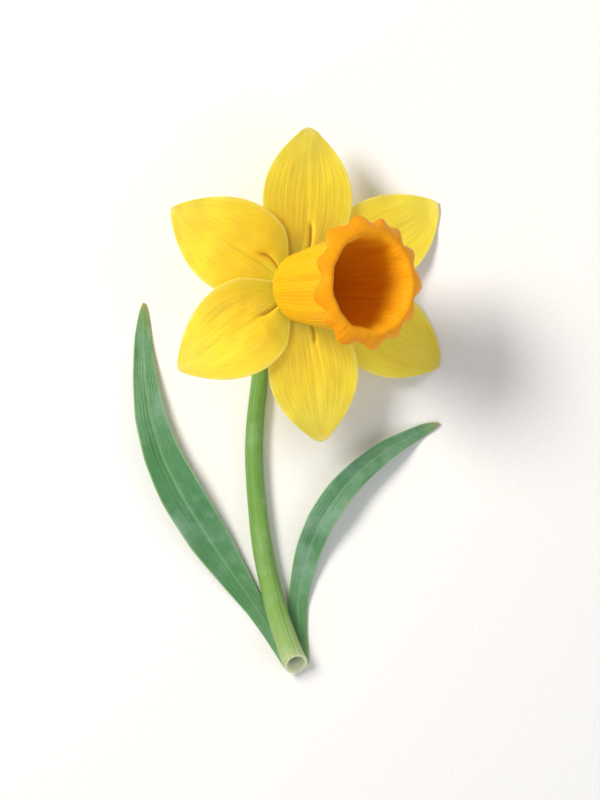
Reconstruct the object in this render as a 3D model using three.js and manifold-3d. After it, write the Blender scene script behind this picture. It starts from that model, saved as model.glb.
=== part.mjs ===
// A picked daffodil, lying face up on a flat surface: stem, spathe, pistil, floral tube with its stamens,
// six tepals, ruffled corona and two leaves. Millimetres, +Z up from the surface, +Y from the cut towards
// the flower, origin under the middle of the whole plant.

import * as THREE from "three";
import { LoftGeometry } from "three/addons/geometries/LoftGeometry.js";
import { mergeVertices } from "three/addons/utils/BufferGeometryUtils.js";
import Module from "manifold-3d";

const wasm = await Module();
wasm.setup();

const { PI, sin, cos, tan, abs, sqrt, exp, hypot } = Math;
const rad = THREE.MathUtils.degToRad;
const mix = THREE.MathUtils.lerp;
const ease = THREE.MathUtils.smoothstep;

// Driving dimensions

// The flower's middle, where its axis passes the tepals, and the way that axis leans from upright.
const FLOWER_CENTRE = new THREE.Vector3(3.6, 35.3, 31);
const FLOWER_LEAN = rad(37.5);
const FLOWER_TURN = rad(3);

const CLEARANCE = 0.3;

// Tepals, as seen from above: azimuth and length, then for each side its half width and the share of the
// length where it is widest. tip is the tip's height over the surface. A side is lifted over (+1) or
// tucked under (-1) the neighbouring tepal there.
const TEPALS = {
  tepal_top: {
    azimuth: 86.1, length: 51.2, tip: 21,
    left: { width: 13.2, widest: 0.55, lift: -1 }, right: { width: 15.4, widest: 0.54, lift: 1 },
  },
  tepal_upper_left: {
    azimuth: 148, length: 47.4, tip: 49,
    left: { width: 14.4, widest: 0.5, lift: -1 }, right: { width: 15.9, widest: 0.47, lift: 1 },
  },
  tepal_lower_left: {
    azimuth: 214.4, length: 46.8, tip: 46,
    left: { width: 15.3, widest: 0.48, lift: 1 }, right: { width: 14.5, widest: 0.46, lift: 1 },
  },
  tepal_bottom: {
    azimuth: 278.7, length: 49.2, tip: 22,
    left: { width: 15.2, widest: 0.52, lift: 1 }, right: { width: 13.5, widest: 0.54, lift: -1 },
  },
  tepal_lower_right: {
    azimuth: 330.5, length: 52.8, tip: -0.6,
    left: { width: 15.2, widest: 0.58, lift: -1 }, right: { width: 12.3, widest: 0.57, lift: -1 },
  },
  tepal_upper_right: {
    azimuth: 31.4, length: 53.6, tip: -0.6,
    left: { width: 13.3, widest: 0.55, lift: -1 }, right: { width: 14.4, widest: 0.58, lift: 1 },
  },
};
const TEPAL = {
  thickness: 0.9,
  edgeThickness: 0.65,
  plane: -1.6, // of the roots, along the flower's axis
  rootRadius: 10,
  rootSpan: rad(42), // half the arc that a root takes of the ring
  blunt: 0.9, // how quickly the outline closes at the tip
  overlap: 0.85, // how far an edge is lifted over or under its neighbour
  blend: 0.12, // share of the length that turns from the ring into the free blade
  cup: 1.1, // how far an upper edge curls up
  wave: 0.8, // height of the waves along the free edges
  waves: 2.2, // how many a blade's length holds
  crease: 0.7, // depth of the fold along the middle near the root
  creaseWidth: 0.22, // as a share of the half width
  creaseEnd: 0.62, // as a share of the length
  settle: 0.5, // how softly a tip comes to lie on the surface
  lastRow: 0.988,
  rows: 14,
  columns: 8,
};
// How the spread of tepals sags: the left half rises ever more slowly, the right half flattens downwards.
const RISE_LENGTH = 40;
const FLATTEN = 0.0022;

// Corona: distance along the flower's axis and radius of the middle of its wall, up to the lip, which rolls
// back over and ends in a ruffled edge.
const CORONA_PROFILE = [
  [0.4, 8.9], [0.5, 9.9], [1.4, 10.6], [3.4, 11], [9, 12], [15, 13.3], [21, 14.2], [27, 14.5],
  [32, 14.5], [35.4, 14.6], [37.4, 15.2], [38.2, 16.4], [37.6, 18], [36.6, 19.2], [35.4, 20.1],
];
// Its ruffled edge as it shows from above: azimuth in degrees and radius of each lobe and of the notch
// that follows it.
const RUFFLES = [
  [-3.5, 22], [15.5, 19.7], [25, 21.6], [38.5, 19.2], [49, 21.4], [59.5, 20.3], [69, 21.4], [80.5, 19.3],
  [95, 21.6], [111, 19.8], [128, 22.1], [145.5, 19.1], [158, 20.9], [172, 18], [189, 21.9], [205, 18.9],
  [214, 20.8], [222, 19.8], [237.5, 21.9], [256, 18.8], [274, 20.9], [290, 18.7], [302.5, 20.5],
  [315, 18.8], [328.5, 21], [341, 19],
];
const CORONA = {
  thickness: 0.8,
  lobeCurl: 0.35, // how far a lobe curls back for each millimetre that it reaches out
  ruffleFrom: 0.7, // share of the profile where the ruffle begins
  rows: 16,
  columns: 90,
};

// Floral tube, a funnel from the ovary to the mouth: [distance along the axis, outer radius].
const TUBE_TOP = -0.35;
const TUBE_BOTTOM = -15.5;
const TUBE_OUTSIDE = [
  [TUBE_BOTTOM, 3.3], [-12.5, 3.5], [-9, 4.6], [-6, 6.2], [-3.4, 7.9], [-1.8, 9], [TUBE_TOP, 9.3],
];
const TUBE_INSIDE = [
  [TUBE_TOP, 8.5], [-2, 7.9], [-3.6, 6.8], [-6.2, 5], [-9.2, 3.5], [-14, 1.2], [TUBE_BOTTOM, 1.2],
];
const TUBE_SIDES = 32;
const STAMEN = {
  count: 6,
  filamentRadius: 0.5,
  filamentSteps: 6,
  rootRadius: 4.6,
  rootHeight: -7.6,
  standRadius: 3.1,
  standHeight: 1.5,
  antherHeight: 6,
  antherLength: 9,
  antherWidth: 2.1,
  antherDepth: 1.5,
};

// Pistil: [distance along the axis, radius] of the ovary, the style and the stigma.
const OVARY_BOTTOM = -26;
const PISTIL_PROFILE = [
  [OVARY_BOTTOM, 0], [OVARY_BOTTOM, 1.9], [-25.2, 2.6], [-23, 3.7], [-20.4, 4], [-18, 3.6], [-16.2, 3],
  [-15.85, 2.6], [-15.85, 0.8], [-12, 0.75], [0, 0.7], [11.6, 0.65], [12.5, 1.1], [13.3, 1.5],
  [13.9, 1.3], [14.1, 0],
];
const PISTIL_SIDES = 18;
const OVARY_TOP = -16;
const OVARY_LOBING = 0.07;

// Stem: places along it from the cut to the ovary, as [x, y, radius, height of its underside]. Where that is
// below 0 the stem lies on the surface and is pressed flat there.
const STEM_SIDES = 12;
const STEM_STATIONS = [
  [3, -84.5, 3.8, 1.4], [1.5, -81.5, 3.8, 1.4], [-0.9, -74.9, 3.7, 1.2], [-2.8, -69, 3.6, 0.95],
  [-4.5, -62.5, 3.5, 0.35], [-6, -56.2, 3.4, -0.1], [-8.3, -43.4, 3.25, -0.1], [-9.8, -30.6, 3.1, -0.1],
  [-10.5, -17.8, 2.95, -0.1], [-9.9, -5, 2.8, -0.1], [-8.8, 4.6, 2.7, -0.1], [-8.5, 10.5, 2.65, 0.3],
  [-9.3, 16.2, 2.7, 0.9], [-11.4, 21.6, 2.3, 1.6], [-13.9, 27.2, 2, 2.6], [-15.3, 31.6, 1.9, 4.6],
];
const STEM_END_RADIUS = 2;
const STEM_STEPS = 44;
const CUT_SLANT = 0.75; // the cut runs this far along the stem for each millimetre of height

// Spathe: the papery sheath round the stem's top. Places along it as [x, y, height of its middle, radius,
// half the angle that it wraps].
const SPATHE_STATIONS = [
  [-9, 15, 3.7, 3.75, 155], [-10.1, 18.6, 3.9, 3.85, 150], [-12.1, 23.2, 4.3, 4.1, 112],
  [-15.4, 28.8, 4.7, 4.7, 84], [-18.4, 33.6, 4.7, 4.7, 74], [-20.8, 38.4, 4.1, 3.9, 66],
  [-22.3, 43, 3, 2.6, 58],
];
const SPATHE = {
  thickness: 0.6,
  back: rad(205), // the way its back faces at the stem, 270 being straight down
  turn: rad(40), // how far the back turns downwards along it
  taper: 0.75, // share of its width that is gone at the tip
  rows: 16,
  columns: 8,
};

// Leaves: places along each from the cut to the tip, as [x, y, height of its middle, half width].
const LEAVES = {
  leaf_left: [
    [1, -84.8, 0.5, 2.2], [-0.9, -81.1, 0.5, 2.6], [-4.9, -74.7, 0.5, 2.7], [-9.4, -67.4, 0.6, 3.3],
    [-17.1, -56.2, 1.7, 4.9], [-25.6, -43.4, 3.6, 6.6], [-33.5, -30.6, 5.2, 6.8], [-39.8, -17.8, 5.3, 5.9],
    [-43.7, -5, 4, 4.9], [-45.4, 7.8, 2.2, 3.8], [-46, 20.6, 0.45, 2.6], [-45.8, 30.9, 0.9, 0.8],
  ],
  leaf_right: [
    [5.3, -84.6, 0.5, 1.9], [4.9, -80.2, 0.5, 2.1], [4.1, -74.4, 0.5, 2.4], [3.6, -66.1, 0.6, 3],
    [4.8, -56.8, 1.6, 3.5], [7.1, -47.7, 3.3, 4.1], [10.8, -38.9, 4.9, 4.35], [16.7, -29.9, 5.8, 4.35],
    [22.5, -23.7, 5.6, 4], [30.5, -17.1, 4.2, 3.4], [36.2, -13.6, 2.6, 2.8], [43.9, -9.6, 0.45, 1.9],
    [48.8, -7.6, 0.8, 0.7],
  ],
};
const LEAF = { thickness: 1, edgeThickness: 0.65, channel: 0.16, rows: 26, columns: 6 };

// Materials

const finish = (color, roughness) => new THREE.MeshStandardMaterial({ color, roughness, metalness: 0 });
const tepalYellow = finish(0xf6d92f, 0.55);
const coronaGold = finish(0xf2a614, 0.5);
const tubeGreenYellow = finish(0xc6c94a, 0.55);
const stemGreen = finish(0x6f9f3f, 0.45);
const leafGreen = finish(0x4f8553, 0.5);
const papery = finish(0xb99a68, 0.8);

// Frames and surfaces

// The flower's own directions: right and up as its face is seen from above, and along its axis.
const axis = new THREE.Vector3(
  sin(FLOWER_LEAN) * cos(FLOWER_TURN),
  sin(FLOWER_LEAN) * sin(FLOWER_TURN),
  cos(FLOWER_LEAN),
);
const across = new THREE.Vector3(
  cos(FLOWER_LEAN) * cos(FLOWER_TURN),
  cos(FLOWER_LEAN) * sin(FLOWER_TURN),
  -sin(FLOWER_LEAN),
);
const upward = new THREE.Vector3().crossVectors(axis, across);

// A point of the flower by its place along the axis, its radius and its azimuth.
function flowerPoint(along, radius, azimuth) {
  return FLOWER_CENTRE.clone()
    .addScaledVector(axis, along)
    .addScaledVector(across, radius * cos(azimuth))
    .addScaledVector(upward, radius * sin(azimuth));
}

// A smooth curve through rows of numbers, read at a share of its length of 0 to 1.
function throughRows(rows) {
  const curves = rows[0].map((_, k) => new THREE.CatmullRomCurve3(
    rows.map((row) => new THREE.Vector3(row[k], 0, 0)), false, "centripetal"));
  return (share) => curves.map((curve) => curve.getPoint(share).x);
}

// A curved sheet of some thickness round its middle surface, as one closed body. Both faces are split
// into triangles alike. Where wrapped, the columns close on themselves.
function sheet(middle, thickness, rows, columns, wrapped = false) {
  const step = 1e-3;
  const perRow = wrapped ? columns : columns + 1;
  const faces = [[], []];
  for (let i = 0; i <= rows; i++) {
    for (let j = 0; j < perRow; j++) {
      const u = i / rows;
      const v = j / columns;
      const here = middle(u, v);
      const back = u > 0.5 ? -step : step;
      const side = v > 0.5 ? -step : step;
      const du = middle(u + back, v).sub(here).multiplyScalar(Math.sign(back));
      const dv = middle(u, v + side).sub(here).multiplyScalar(Math.sign(side));
      const normal = du.cross(dv).normalize().multiplyScalar(thickness(u, v) / 2);
      faces[0].push(here.clone().add(normal));
      faces[1].push(here.clone().sub(normal));
    }
  }
  const count = (rows + 1) * perRow;
  const position = new Float32Array([...faces[0], ...faces[1]].flatMap((p) => p.toArray()));
  const at = (i, j, face) => face * count + i * perRow + (wrapped ? j % columns : j);
  const index = [];
  const quad = (a, b, c, d) => index.push(a, b, c, a, c, d);
  for (let i = 0; i < rows; i++) {
    for (let j = 0; j < columns; j++) {
      quad(at(i, j, 0), at(i + 1, j, 0), at(i + 1, j + 1, 0), at(i, j + 1, 0));
      index.push(at(i, j, 1), at(i + 1, j + 1, 1), at(i + 1, j, 1));
      index.push(at(i, j, 1), at(i, j + 1, 1), at(i + 1, j + 1, 1));
    }
    if (!wrapped) {
      quad(at(i, 0, 1), at(i + 1, 0, 1), at(i + 1, 0, 0), at(i, 0, 0));
      quad(at(i, columns, 0), at(i + 1, columns, 0), at(i + 1, columns, 1), at(i, columns, 1));
    }
  }
  for (let j = 0; j < columns; j++) {
    quad(at(0, j, 0), at(0, j + 1, 0), at(0, j + 1, 1), at(0, j, 1));
    quad(at(rows, j, 1), at(rows, j + 1, 1), at(rows, j + 1, 0), at(rows, j, 0));
  }
  const geometry = new THREE.BufferGeometry();
  geometry.setAttribute("position", new THREE.BufferAttribute(position, 3));
  geometry.setIndex(index);
  geometry.computeVertexNormals();
  return geometry;
}

// A turned shape on the flower's axis, from [distance along the axis, radius] pairs.
function turned(profile, segments) {
  const points = profile.map(([along, radius]) => new THREE.Vector2(radius, along));
  const geometry = new THREE.LatheGeometry(points, segments);
  const place = new THREE.Matrix4().makeBasis(upward, axis, across).setPosition(FLOWER_CENTRE);
  return geometry.applyMatrix4(place);
}

// Joining

function toSolid(geometry) {
  const bare = new THREE.BufferGeometry().setAttribute("position", geometry.getAttribute("position"));
  const merged = mergeVertices(bare.setIndex(geometry.index), 1e-4);
  return new wasm.Manifold(new wasm.Mesh({
    numProp: 3,
    vertProperties: merged.attributes.position.array,
    triVerts: new Uint32Array(merged.index.array),
  }));
}

function toGeometry(solid) {
  const mesh = solid.getMesh();
  const geometry = new THREE.BufferGeometry();
  geometry.setAttribute("position", new THREE.BufferAttribute(mesh.vertProperties, 3));
  geometry.setIndex(new THREE.BufferAttribute(mesh.triVerts, 1));
  geometry.computeVertexNormals();
  return geometry;
}

// Tepals

// How far the spread of tepals lies below its middle, at a distance down the lean.
function fall(distance) {
  const slope = tan(FLOWER_LEAN);
  if (distance < 0) return -slope * RISE_LENGTH * (1 - exp(distance / RISE_LENGTH));
  return slope * distance - FLATTEN * distance * distance;
}

// The half width of a tepal's outline as a share of its widest, at a share of its length.
function tepalOutline(share, widest) {
  const open = (TEPAL.blunt * widest) / (1 - widest);
  const shape = (t) => t ** open * (1 - t) ** TEPAL.blunt;
  return shape(share) / shape(widest);
}

// The greater of two numbers, with the corner between them rounded.
const softMax = (a, b, softness) => (a + b + hypot(a - b, softness)) / 2;

// The height of the spread of tepals at a place seen from above.
function spreadHeight(x, y) {
  const downLean = (x - FLOWER_CENTRE.x) * cos(FLOWER_TURN) + (y - FLOWER_CENTRE.y) * sin(FLOWER_TURN);
  return FLOWER_CENTRE.z + TEPAL.plane / cos(FLOWER_LEAN) - fall(downLean);
}

// The middle of a tepal's blade at a share t of its length, from the ring that it grows from to its tip, and
// from its right edge (side -1) to its left (side +1).
function tepalSurface(t, side, spec) {
  const azimuth = rad(spec.azimuth);
  const rootAzimuth = Math.atan2(sin(azimuth - FLOWER_TURN), cos(azimuth - FLOWER_TURN) / cos(FLOWER_LEAN));
  const lift = TEPAL.overlap * mix(spec.right.lift, spec.left.lift, (side + 1) / 2);
  const root = flowerPoint(TEPAL.plane + lift, TEPAL.rootRadius, rootAzimuth + side * TEPAL.rootSpan);
  const middleOfRoot = flowerPoint(TEPAL.plane, TEPAL.rootRadius, rootAzimuth);
  const nearest = hypot(middleOfRoot.x - FLOWER_CENTRE.x, middleOfRoot.y - FLOWER_CENTRE.y);

  const reach = mix(nearest, spec.length, t);
  const edge = side > 0 ? spec.left : spec.right;
  const offset = side * edge.width * tepalOutline(reach / spec.length, edge.widest);
  const place = (along, aside) => [
    FLOWER_CENTRE.x + along * cos(azimuth) - aside * sin(azimuth),
    FLOWER_CENTRE.y + along * sin(azimuth) + aside * cos(azimuth),
  ];
  const [x, y] = place(reach, offset);

  const toTip = (spec.tip - spreadHeight(...place(spec.length, 0))) * t ** 4;
  const crease = TEPAL.crease * exp(-((side / TEPAL.creaseWidth) ** 2)) * (1 - ease(t, 0.1, TEPAL.creaseEnd));
  const cupped = edge.lift > 0 ? TEPAL.cup * side * side * sin(PI * t) : 0;
  const wavy = TEPAL.wave * side * abs(side) * sin(2 * PI * TEPAL.waves * t + azimuth) * ease(t, 0.45, 0.75);
  const free = spreadHeight(x, y) + lift * (1 - 0.6 * t * t) + toTip - crease + cupped + wavy * (1 - t);
  const z = softMax(free, TEPAL.thickness / 2, TEPAL.settle);
  return root.lerp(new THREE.Vector3(x, y, z), ease(t, 0, TEPAL.blend));
}

function tepal(name, spec) {
  const middle = (u, v) => tepalSurface(TEPAL.lastRow * (1 - cos(PI * u)) / 2, 2 * v - 1, spec);
  const thickness = (u, v) => mix(TEPAL.thickness, TEPAL.edgeThickness, (2 * v - 1) ** 2);
  return named(name, sheet(middle, thickness, TEPAL.rows, TEPAL.columns), tepalYellow);
}

// Corona

// How far the ruffled edge stands out from the profile's end at an azimuth in degrees. A lobe's curl moves
// it too as it shows from above, so that is taken off its reach.
function ruffle(azimuth) {
  const [first] = RUFFLES;
  const turn = ((azimuth - first[0] + 360) % 360) + first[0];
  const before = RUFFLES.findLastIndex(([place]) => place <= turn);
  const [start, radius] = RUFFLES[before];
  const [end, nextRadius] = RUFFLES[before + 1] ?? [first[0] + 360, first[1]];
  const share = (1 - cos((PI * (turn - start)) / (end - start))) / 2;
  const [, endRadius] = CORONA_PROFILE.at(-1);
  const shown = mix(radius, nextRadius, share) - CORONA.thickness / 2 - endRadius;
  return shown / (1 - CORONA.lobeCurl * tan(FLOWER_LEAN) * cos(rad(azimuth)));
}

function corona() {
  const profile = throughRows(CORONA_PROFILE);
  const middle = (u, v) => {
    const [along, radius] = profile(u);
    const frill = ruffle(360 * v) * ease(u, CORONA.ruffleFrom, 1) ** 1.2;
    return flowerPoint(along - CORONA.lobeCurl * frill, radius + frill, 2 * PI * v);
  };
  const wall = sheet(middle, () => CORONA.thickness, CORONA.rows, CORONA.columns, true);
  return named("corona", wall, coronaGold);
}

// Floral tube with its stamens, and the pistil

function stamen(number) {
  const azimuth = (2 * PI * number) / STAMEN.count;
  const route = new THREE.CatmullRomCurve3([
    flowerPoint(STAMEN.rootHeight, STAMEN.rootRadius, azimuth),
    flowerPoint(mix(STAMEN.rootHeight, STAMEN.standHeight, 0.4), STAMEN.standRadius * 1.08, azimuth),
    flowerPoint(STAMEN.standHeight, STAMEN.standRadius, azimuth),
    flowerPoint(STAMEN.antherHeight, STAMEN.standRadius, azimuth),
  ]);
  const section = hexagon(STAMEN.filamentRadius);
  const filament = new THREE.ExtrudeGeometry(section, { extrudePath: route, steps: STAMEN.filamentSteps });
  const anther = new THREE.SphereGeometry(0.5, 8, 6)
    .scale(STAMEN.antherDepth, STAMEN.antherLength, STAMEN.antherWidth)
    .applyMatrix4(new THREE.Matrix4().makeBasis(
      flowerPoint(0, 1, azimuth).sub(FLOWER_CENTRE),
      axis,
      flowerPoint(0, 1, azimuth - PI / 2).sub(FLOWER_CENTRE),
    ).setPosition(flowerPoint(STAMEN.antherHeight, STAMEN.standRadius, azimuth)));
  return toSolid(filament).add(toSolid(anther));
}

function hexagon(radius) {
  const corners = Array.from({ length: 6 }, (_, k) => new THREE.Vector2(
    radius * cos((k * PI) / 3), radius * sin((k * PI) / 3)));
  return new THREE.Shape(corners);
}

function floralTube() {
  const loop = [...TUBE_OUTSIDE, ...TUBE_INSIDE, TUBE_OUTSIDE[0]];
  let solid = toSolid(turned(loop, TUBE_SIDES));
  for (let k = 0; k < STAMEN.count; k++) solid = solid.add(stamen(k));
  return named("floral_tube", toGeometry(solid), tubeGreenYellow);
}

function pistil() {
  const geometry = turned(PISTIL_PROFILE, PISTIL_SIDES);
  const position = geometry.attributes.position;
  const point = new THREE.Vector3();
  for (let k = 0; k < position.count; k++) {
    point.fromBufferAttribute(position, k).sub(FLOWER_CENTRE);
    const along = point.dot(axis);
    const azimuth = Math.atan2(point.dot(upward), point.dot(across));
    if (along > OVARY_TOP || along < OVARY_BOTTOM + 0.1) continue;
    const radial = point.clone().addScaledVector(axis, -along);
    point.addScaledVector(radial, OVARY_LOBING * cos(3 * azimuth)).add(FLOWER_CENTRE);
    position.setXYZ(k, point.x, point.y, point.z);
  }
  return named("pistil", geometry, tubeGreenYellow);
}

// Stem

function stem() {
  const flatToCorner = cos(PI / STEM_SIDES);
  const end = flowerPoint(OVARY_BOTTOM - CLEARANCE, 0, 0);
  const beforeEnd = flowerPoint(OVARY_BOTTOM - CLEARANCE - 3, 0, 0);
  const places = [
    ...STEM_STATIONS.map(([x, y, radius, under]) => [x, y, radius * flatToCorner + under, radius]),
    [...beforeEnd.toArray(), STEM_END_RADIUS],
    [...end.toArray(), STEM_END_RADIUS],
  ];
  const centres = places.map(([x, y, z]) => new THREE.Vector3(x, y, z));
  const curve = new THREE.CatmullRomCurve3(centres, false, "centripetal");
  const radii = throughRows(places.map(([, , , radius]) => [radius]));
  const frames = curve.computeFrenetFrames(STEM_STEPS, false);
  const topward = Math.sign(frames.normals[0].z);
  const sections = [];
  for (let i = 0; i <= STEM_STEPS; i++) {
    const share = curve.getUtoTmapping(i / STEM_STEPS);
    const centre = curve.getPoint(share);
    const [radius] = radii(share);
    const ring = [];
    for (let k = 0; k < STEM_SIDES; k++) {
      const turn = ((k + 0.5) * 2 * PI) / STEM_SIDES;
      const point = centre.clone()
        .addScaledVector(frames.normals[i], radius * cos(turn))
        .addScaledVector(frames.binormals[i], radius * sin(turn));
      if (i === 0) point.addScaledVector(frames.tangents[0], CUT_SLANT * radius * cos(turn) * topward);
      ring.push(point);
    }
    sections.push(ring);
  }
  return named("stem", outward(new LoftGeometry(sections, { capStart: true, capEnd: true })), stemGreen);
}

// The same geometry with its faces turned round where they point inwards.
function outward(geometry) {
  if (toSolid(geometry).volume() > 0) return geometry;
  const index = geometry.index;
  for (let k = 0; k < index.count; k += 3) {
    const second = index.getX(k + 1);
    index.setX(k + 1, index.getX(k + 2));
    index.setX(k + 2, second);
  }
  return geometry;
}

// Spathe

function spathe() {
  const along = throughRows(SPATHE_STATIONS);
  const middle = (u, v) => {
    const [x, y, z, radius, opening] = along(u);
    const [nextX, nextY] = along(Math.min(1, u + 0.01));
    const [lastX, lastY] = along(Math.max(0, u - 0.01));
    const heading = new THREE.Vector3(nextX - lastX, nextY - lastY, 0).normalize();
    const right = new THREE.Vector3(heading.y, -heading.x, 0);
    const angle = SPATHE.back + (2 * v - 1) * rad(opening) + SPATHE.turn * ease(u, 0.1, 0.8);
    const width = radius * (1 - SPATHE.taper * ease(u, 0.82, 1));
    return new THREE.Vector3(x, y, z)
      .addScaledVector(right, width * cos(angle))
      .add(new THREE.Vector3(0, 0, radius * sin(angle)));
  };
  const geometry = sheet(middle, () => SPATHE.thickness, SPATHE.rows, SPATHE.columns);
  return named("spathe", outward(geometry), papery);
}

// Leaves

function leaf(name, stations) {
  const along = throughRows(stations);
  const middle = (u, v) => {
    const [x, y, z, half] = along(u);
    const [nextX, nextY] = along(Math.min(1, u + 0.01));
    const [lastX, lastY] = along(Math.max(0, u - 0.01));
    const heading = new THREE.Vector2(nextX - lastX, nextY - lastY).normalize();
    const side = 2 * v - 1;
    return new THREE.Vector3(
      x - heading.y * half * side,
      y + heading.x * half * side,
      z + LEAF.channel * half * side * side * ease(u, 0.12, 0.4),
    );
  };
  const thickness = (u, v) => mix(LEAF.thickness, LEAF.edgeThickness, abs(2 * v - 1));
  return named(name, outward(sheet(middle, thickness, LEAF.rows, LEAF.columns)), leafGreen);
}

// The plant

// A named piece, flattened where it would reach below the surface that the plant lies on.
function named(name, geometry, material) {
  const position = geometry.attributes.position;
  for (let k = 0; k < position.count; k++) position.setZ(k, Math.max(0, position.getZ(k)));
  const mesh = new THREE.Mesh(geometry, material);
  mesh.name = name;
  return mesh;
}

const daffodil = new THREE.Group();
daffodil.add(stem(), spathe(), pistil(), floralTube(), corona());
for (const [name, spec] of Object.entries(TEPALS)) daffodil.add(tepal(name, spec));
for (const [name, stations] of Object.entries(LEAVES)) daffodil.add(leaf(name, stations));

export default daffodil;
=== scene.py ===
"""The looks of a picked daffodil that lies face up on a pale floor.

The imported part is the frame. Each piece here repeats the form of the node that it replaces, with the
finer relief and the finish of the living plant: veined tepals, a fluted corona with a rolled lip, stamens
with pollen, a three-lobed stigma, a striped hollow stem, strap leaves and a papery spathe.
Shapes are worked out in the part's millimetres and turned into metres as each mesh is placed.
"""

import logging
import math
from abc import ABC, abstractmethod
from dataclasses import dataclass, field
from enum import Enum
from functools import cached_property, partial
from typing import Callable, Sequence

import bmesh
import bpy
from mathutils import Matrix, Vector, noise

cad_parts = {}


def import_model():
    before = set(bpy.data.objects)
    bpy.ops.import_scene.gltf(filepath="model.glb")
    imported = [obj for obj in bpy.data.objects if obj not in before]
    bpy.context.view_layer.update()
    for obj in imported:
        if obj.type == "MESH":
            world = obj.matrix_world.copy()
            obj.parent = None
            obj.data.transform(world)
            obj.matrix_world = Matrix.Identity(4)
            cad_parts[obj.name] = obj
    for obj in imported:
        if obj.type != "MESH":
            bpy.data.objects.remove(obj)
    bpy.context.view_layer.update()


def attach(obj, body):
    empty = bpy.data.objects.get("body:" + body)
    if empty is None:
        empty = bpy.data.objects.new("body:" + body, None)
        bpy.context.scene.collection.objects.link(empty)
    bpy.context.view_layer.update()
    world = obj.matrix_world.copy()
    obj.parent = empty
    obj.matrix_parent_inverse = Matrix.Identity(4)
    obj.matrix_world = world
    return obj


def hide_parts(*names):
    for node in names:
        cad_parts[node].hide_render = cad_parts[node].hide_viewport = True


log = logging.getLogger("daffodil")

MM = 0.001
TURN = 2 * math.pi
MERGE_MM = 0.001
LEAST_GAP = 1e-4
LEAST_RIM = 0.16
SAME_PLACE = 1e-6
IMAGE_HEIGHT_PX = 800
MM_PER_PX = 0.32

Colour = tuple[float, float, float, float]
Inputs = dict[str | int, object]
Material = bpy.types.Material
Mesh = bmesh.types.BMesh
Pair = tuple[float, float]
Rows = Sequence[Sequence[float]]
Socket = bpy.types.NodeSocket
Stops = tuple[tuple[float, str], ...]
Surface = Callable[[float, float], Vector]
Triple = tuple[float, float, float]


# Numbers and curves


def mix(first: float, second: float, share: float) -> float:
    """The number that lies a share of the way from the first to the second."""
    return first + (second - first) * share


def ease(value: float, start: float, end: float) -> float:
    """How far a value has come from start to end, as 0 to 1 with a soft start and stop."""
    share = min(max((value - start) / (end - start), 0.0), 1.0)
    return share * share * (3 - 2 * share)


def between(value: float, rise: Pair, fall: Pair) -> float:
    """How much of a relief shows at a value: it grows over the rise and is gone after the fall."""
    return ease(value, *rise) * (1 - ease(value, *fall))


def soft_max(first: float, second: float, softness: float) -> float:
    """The greater of two numbers, with the corner between them rounded."""
    return (first + second + math.hypot(first - second, softness)) / 2


def bell(value: float, width: float) -> float:
    """1 where the value is 0, falling off to both sides within about the width."""
    return math.exp(-((value / width) ** 2))


def crowded(place: float, bend: float, end: float) -> float:
    """Carries a place from 0 to 1 so that the steps past a bend crowd into the last bit.

    Args:
        place: The place.
        bend: The share of the steps that crowd.
        end: The share of the way that they crowd into.

    Returns:
        The place that it is carried to.
    """
    if not bend or place < 1 - bend:
        return (1 - end) * place / (1 - bend)
    return 1 - end * ((1 - place) / bend) ** 2


def rim_share(distance: float, radius: float) -> float:
    """How much of a wall's thickness is left near its rim, so that the rim is round."""
    inside = min(1.0, max(0.0, distance / radius))
    return max(LEAST_RIM, math.sqrt(1 - (1 - inside) ** 2))


def ripple(x: float, y: float, z: float) -> float:
    """Smooth noise of about -0.5 to 0.5 at a place."""
    return noise.noise(Vector((x, y, z)))


@dataclass(frozen=True)
class SmoothRows:
    """A smooth curve through rows of numbers.

    Attributes:
        rows: The rows that it passes, evenly spaced along it.
        as_points: True where the first three columns are one path in space and share their spacing.
    """

    rows: Rows
    as_points: bool = False

    def at(self, share: float) -> list[float]:
        """Reads the curve.

        Args:
            share: How far along it, from 0 to 1.

        Returns:
            One number for each column.
        """
        last = len(self.rows) - 1
        place = min(max(share, 0.0), 1.0) * last
        index = min(int(place), last - 1)
        start, end = self.rows[index], self.rows[index + 1]
        before = self.rows[index - 1] if index else [2 * a - b for a, b in zip(start, end)]
        after = self.rows[index + 2] if index + 2 <= last else [2 * b - a for a, b in zip(start, end)]
        four = (before, start, end, after)
        shared = [math.dist(a[:3], b[:3]) ** 0.5 for a, b in zip(four, four[1:])] if self.as_points else None
        values = []
        for column in zip(*four):
            gaps = shared or [abs(b - a) ** 0.5 for a, b in zip(column, column[1:])]
            values.append(self.cubic(column, gaps, place - index))
        return values

    @staticmethod
    def cubic(values: Sequence[float], gaps: Sequence[float], step: float) -> float:
        """Reads a cubic between the second and third of four values.

        Args:
            values: The four values.
            gaps: The three gaps between them.
            step: The share of the middle gap.

        Returns:
            The value there.
        """
        middle = gaps[1] if gaps[1] > LEAST_GAP else 1.0
        left = gaps[0] if gaps[0] > LEAST_GAP else middle
        right = gaps[2] if gaps[2] > LEAST_GAP else middle
        a, b, c, d = values
        slope_in = ((b - a) / left - (c - a) / (left + middle) + (c - b) / middle) * middle
        slope_out = ((c - b) / middle - (d - b) / (middle + right) + (d - c) / right) * middle
        third = -3 * b + 3 * c - 2 * slope_in - slope_out
        fourth = 2 * b - 2 * c + slope_in + slope_out
        return b + slope_in * step + third * step**2 + fourth * step**3

    def ahead(self, share: float, step: float) -> Vector:
        """The level direction of the path in its first two columns, over a step to both sides."""
        there, back = self.at(min(1, share + step)), self.at(max(0, share - step))
        return Vector((there[0] - back[0], there[1] - back[1], 0)).normalized()


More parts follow.
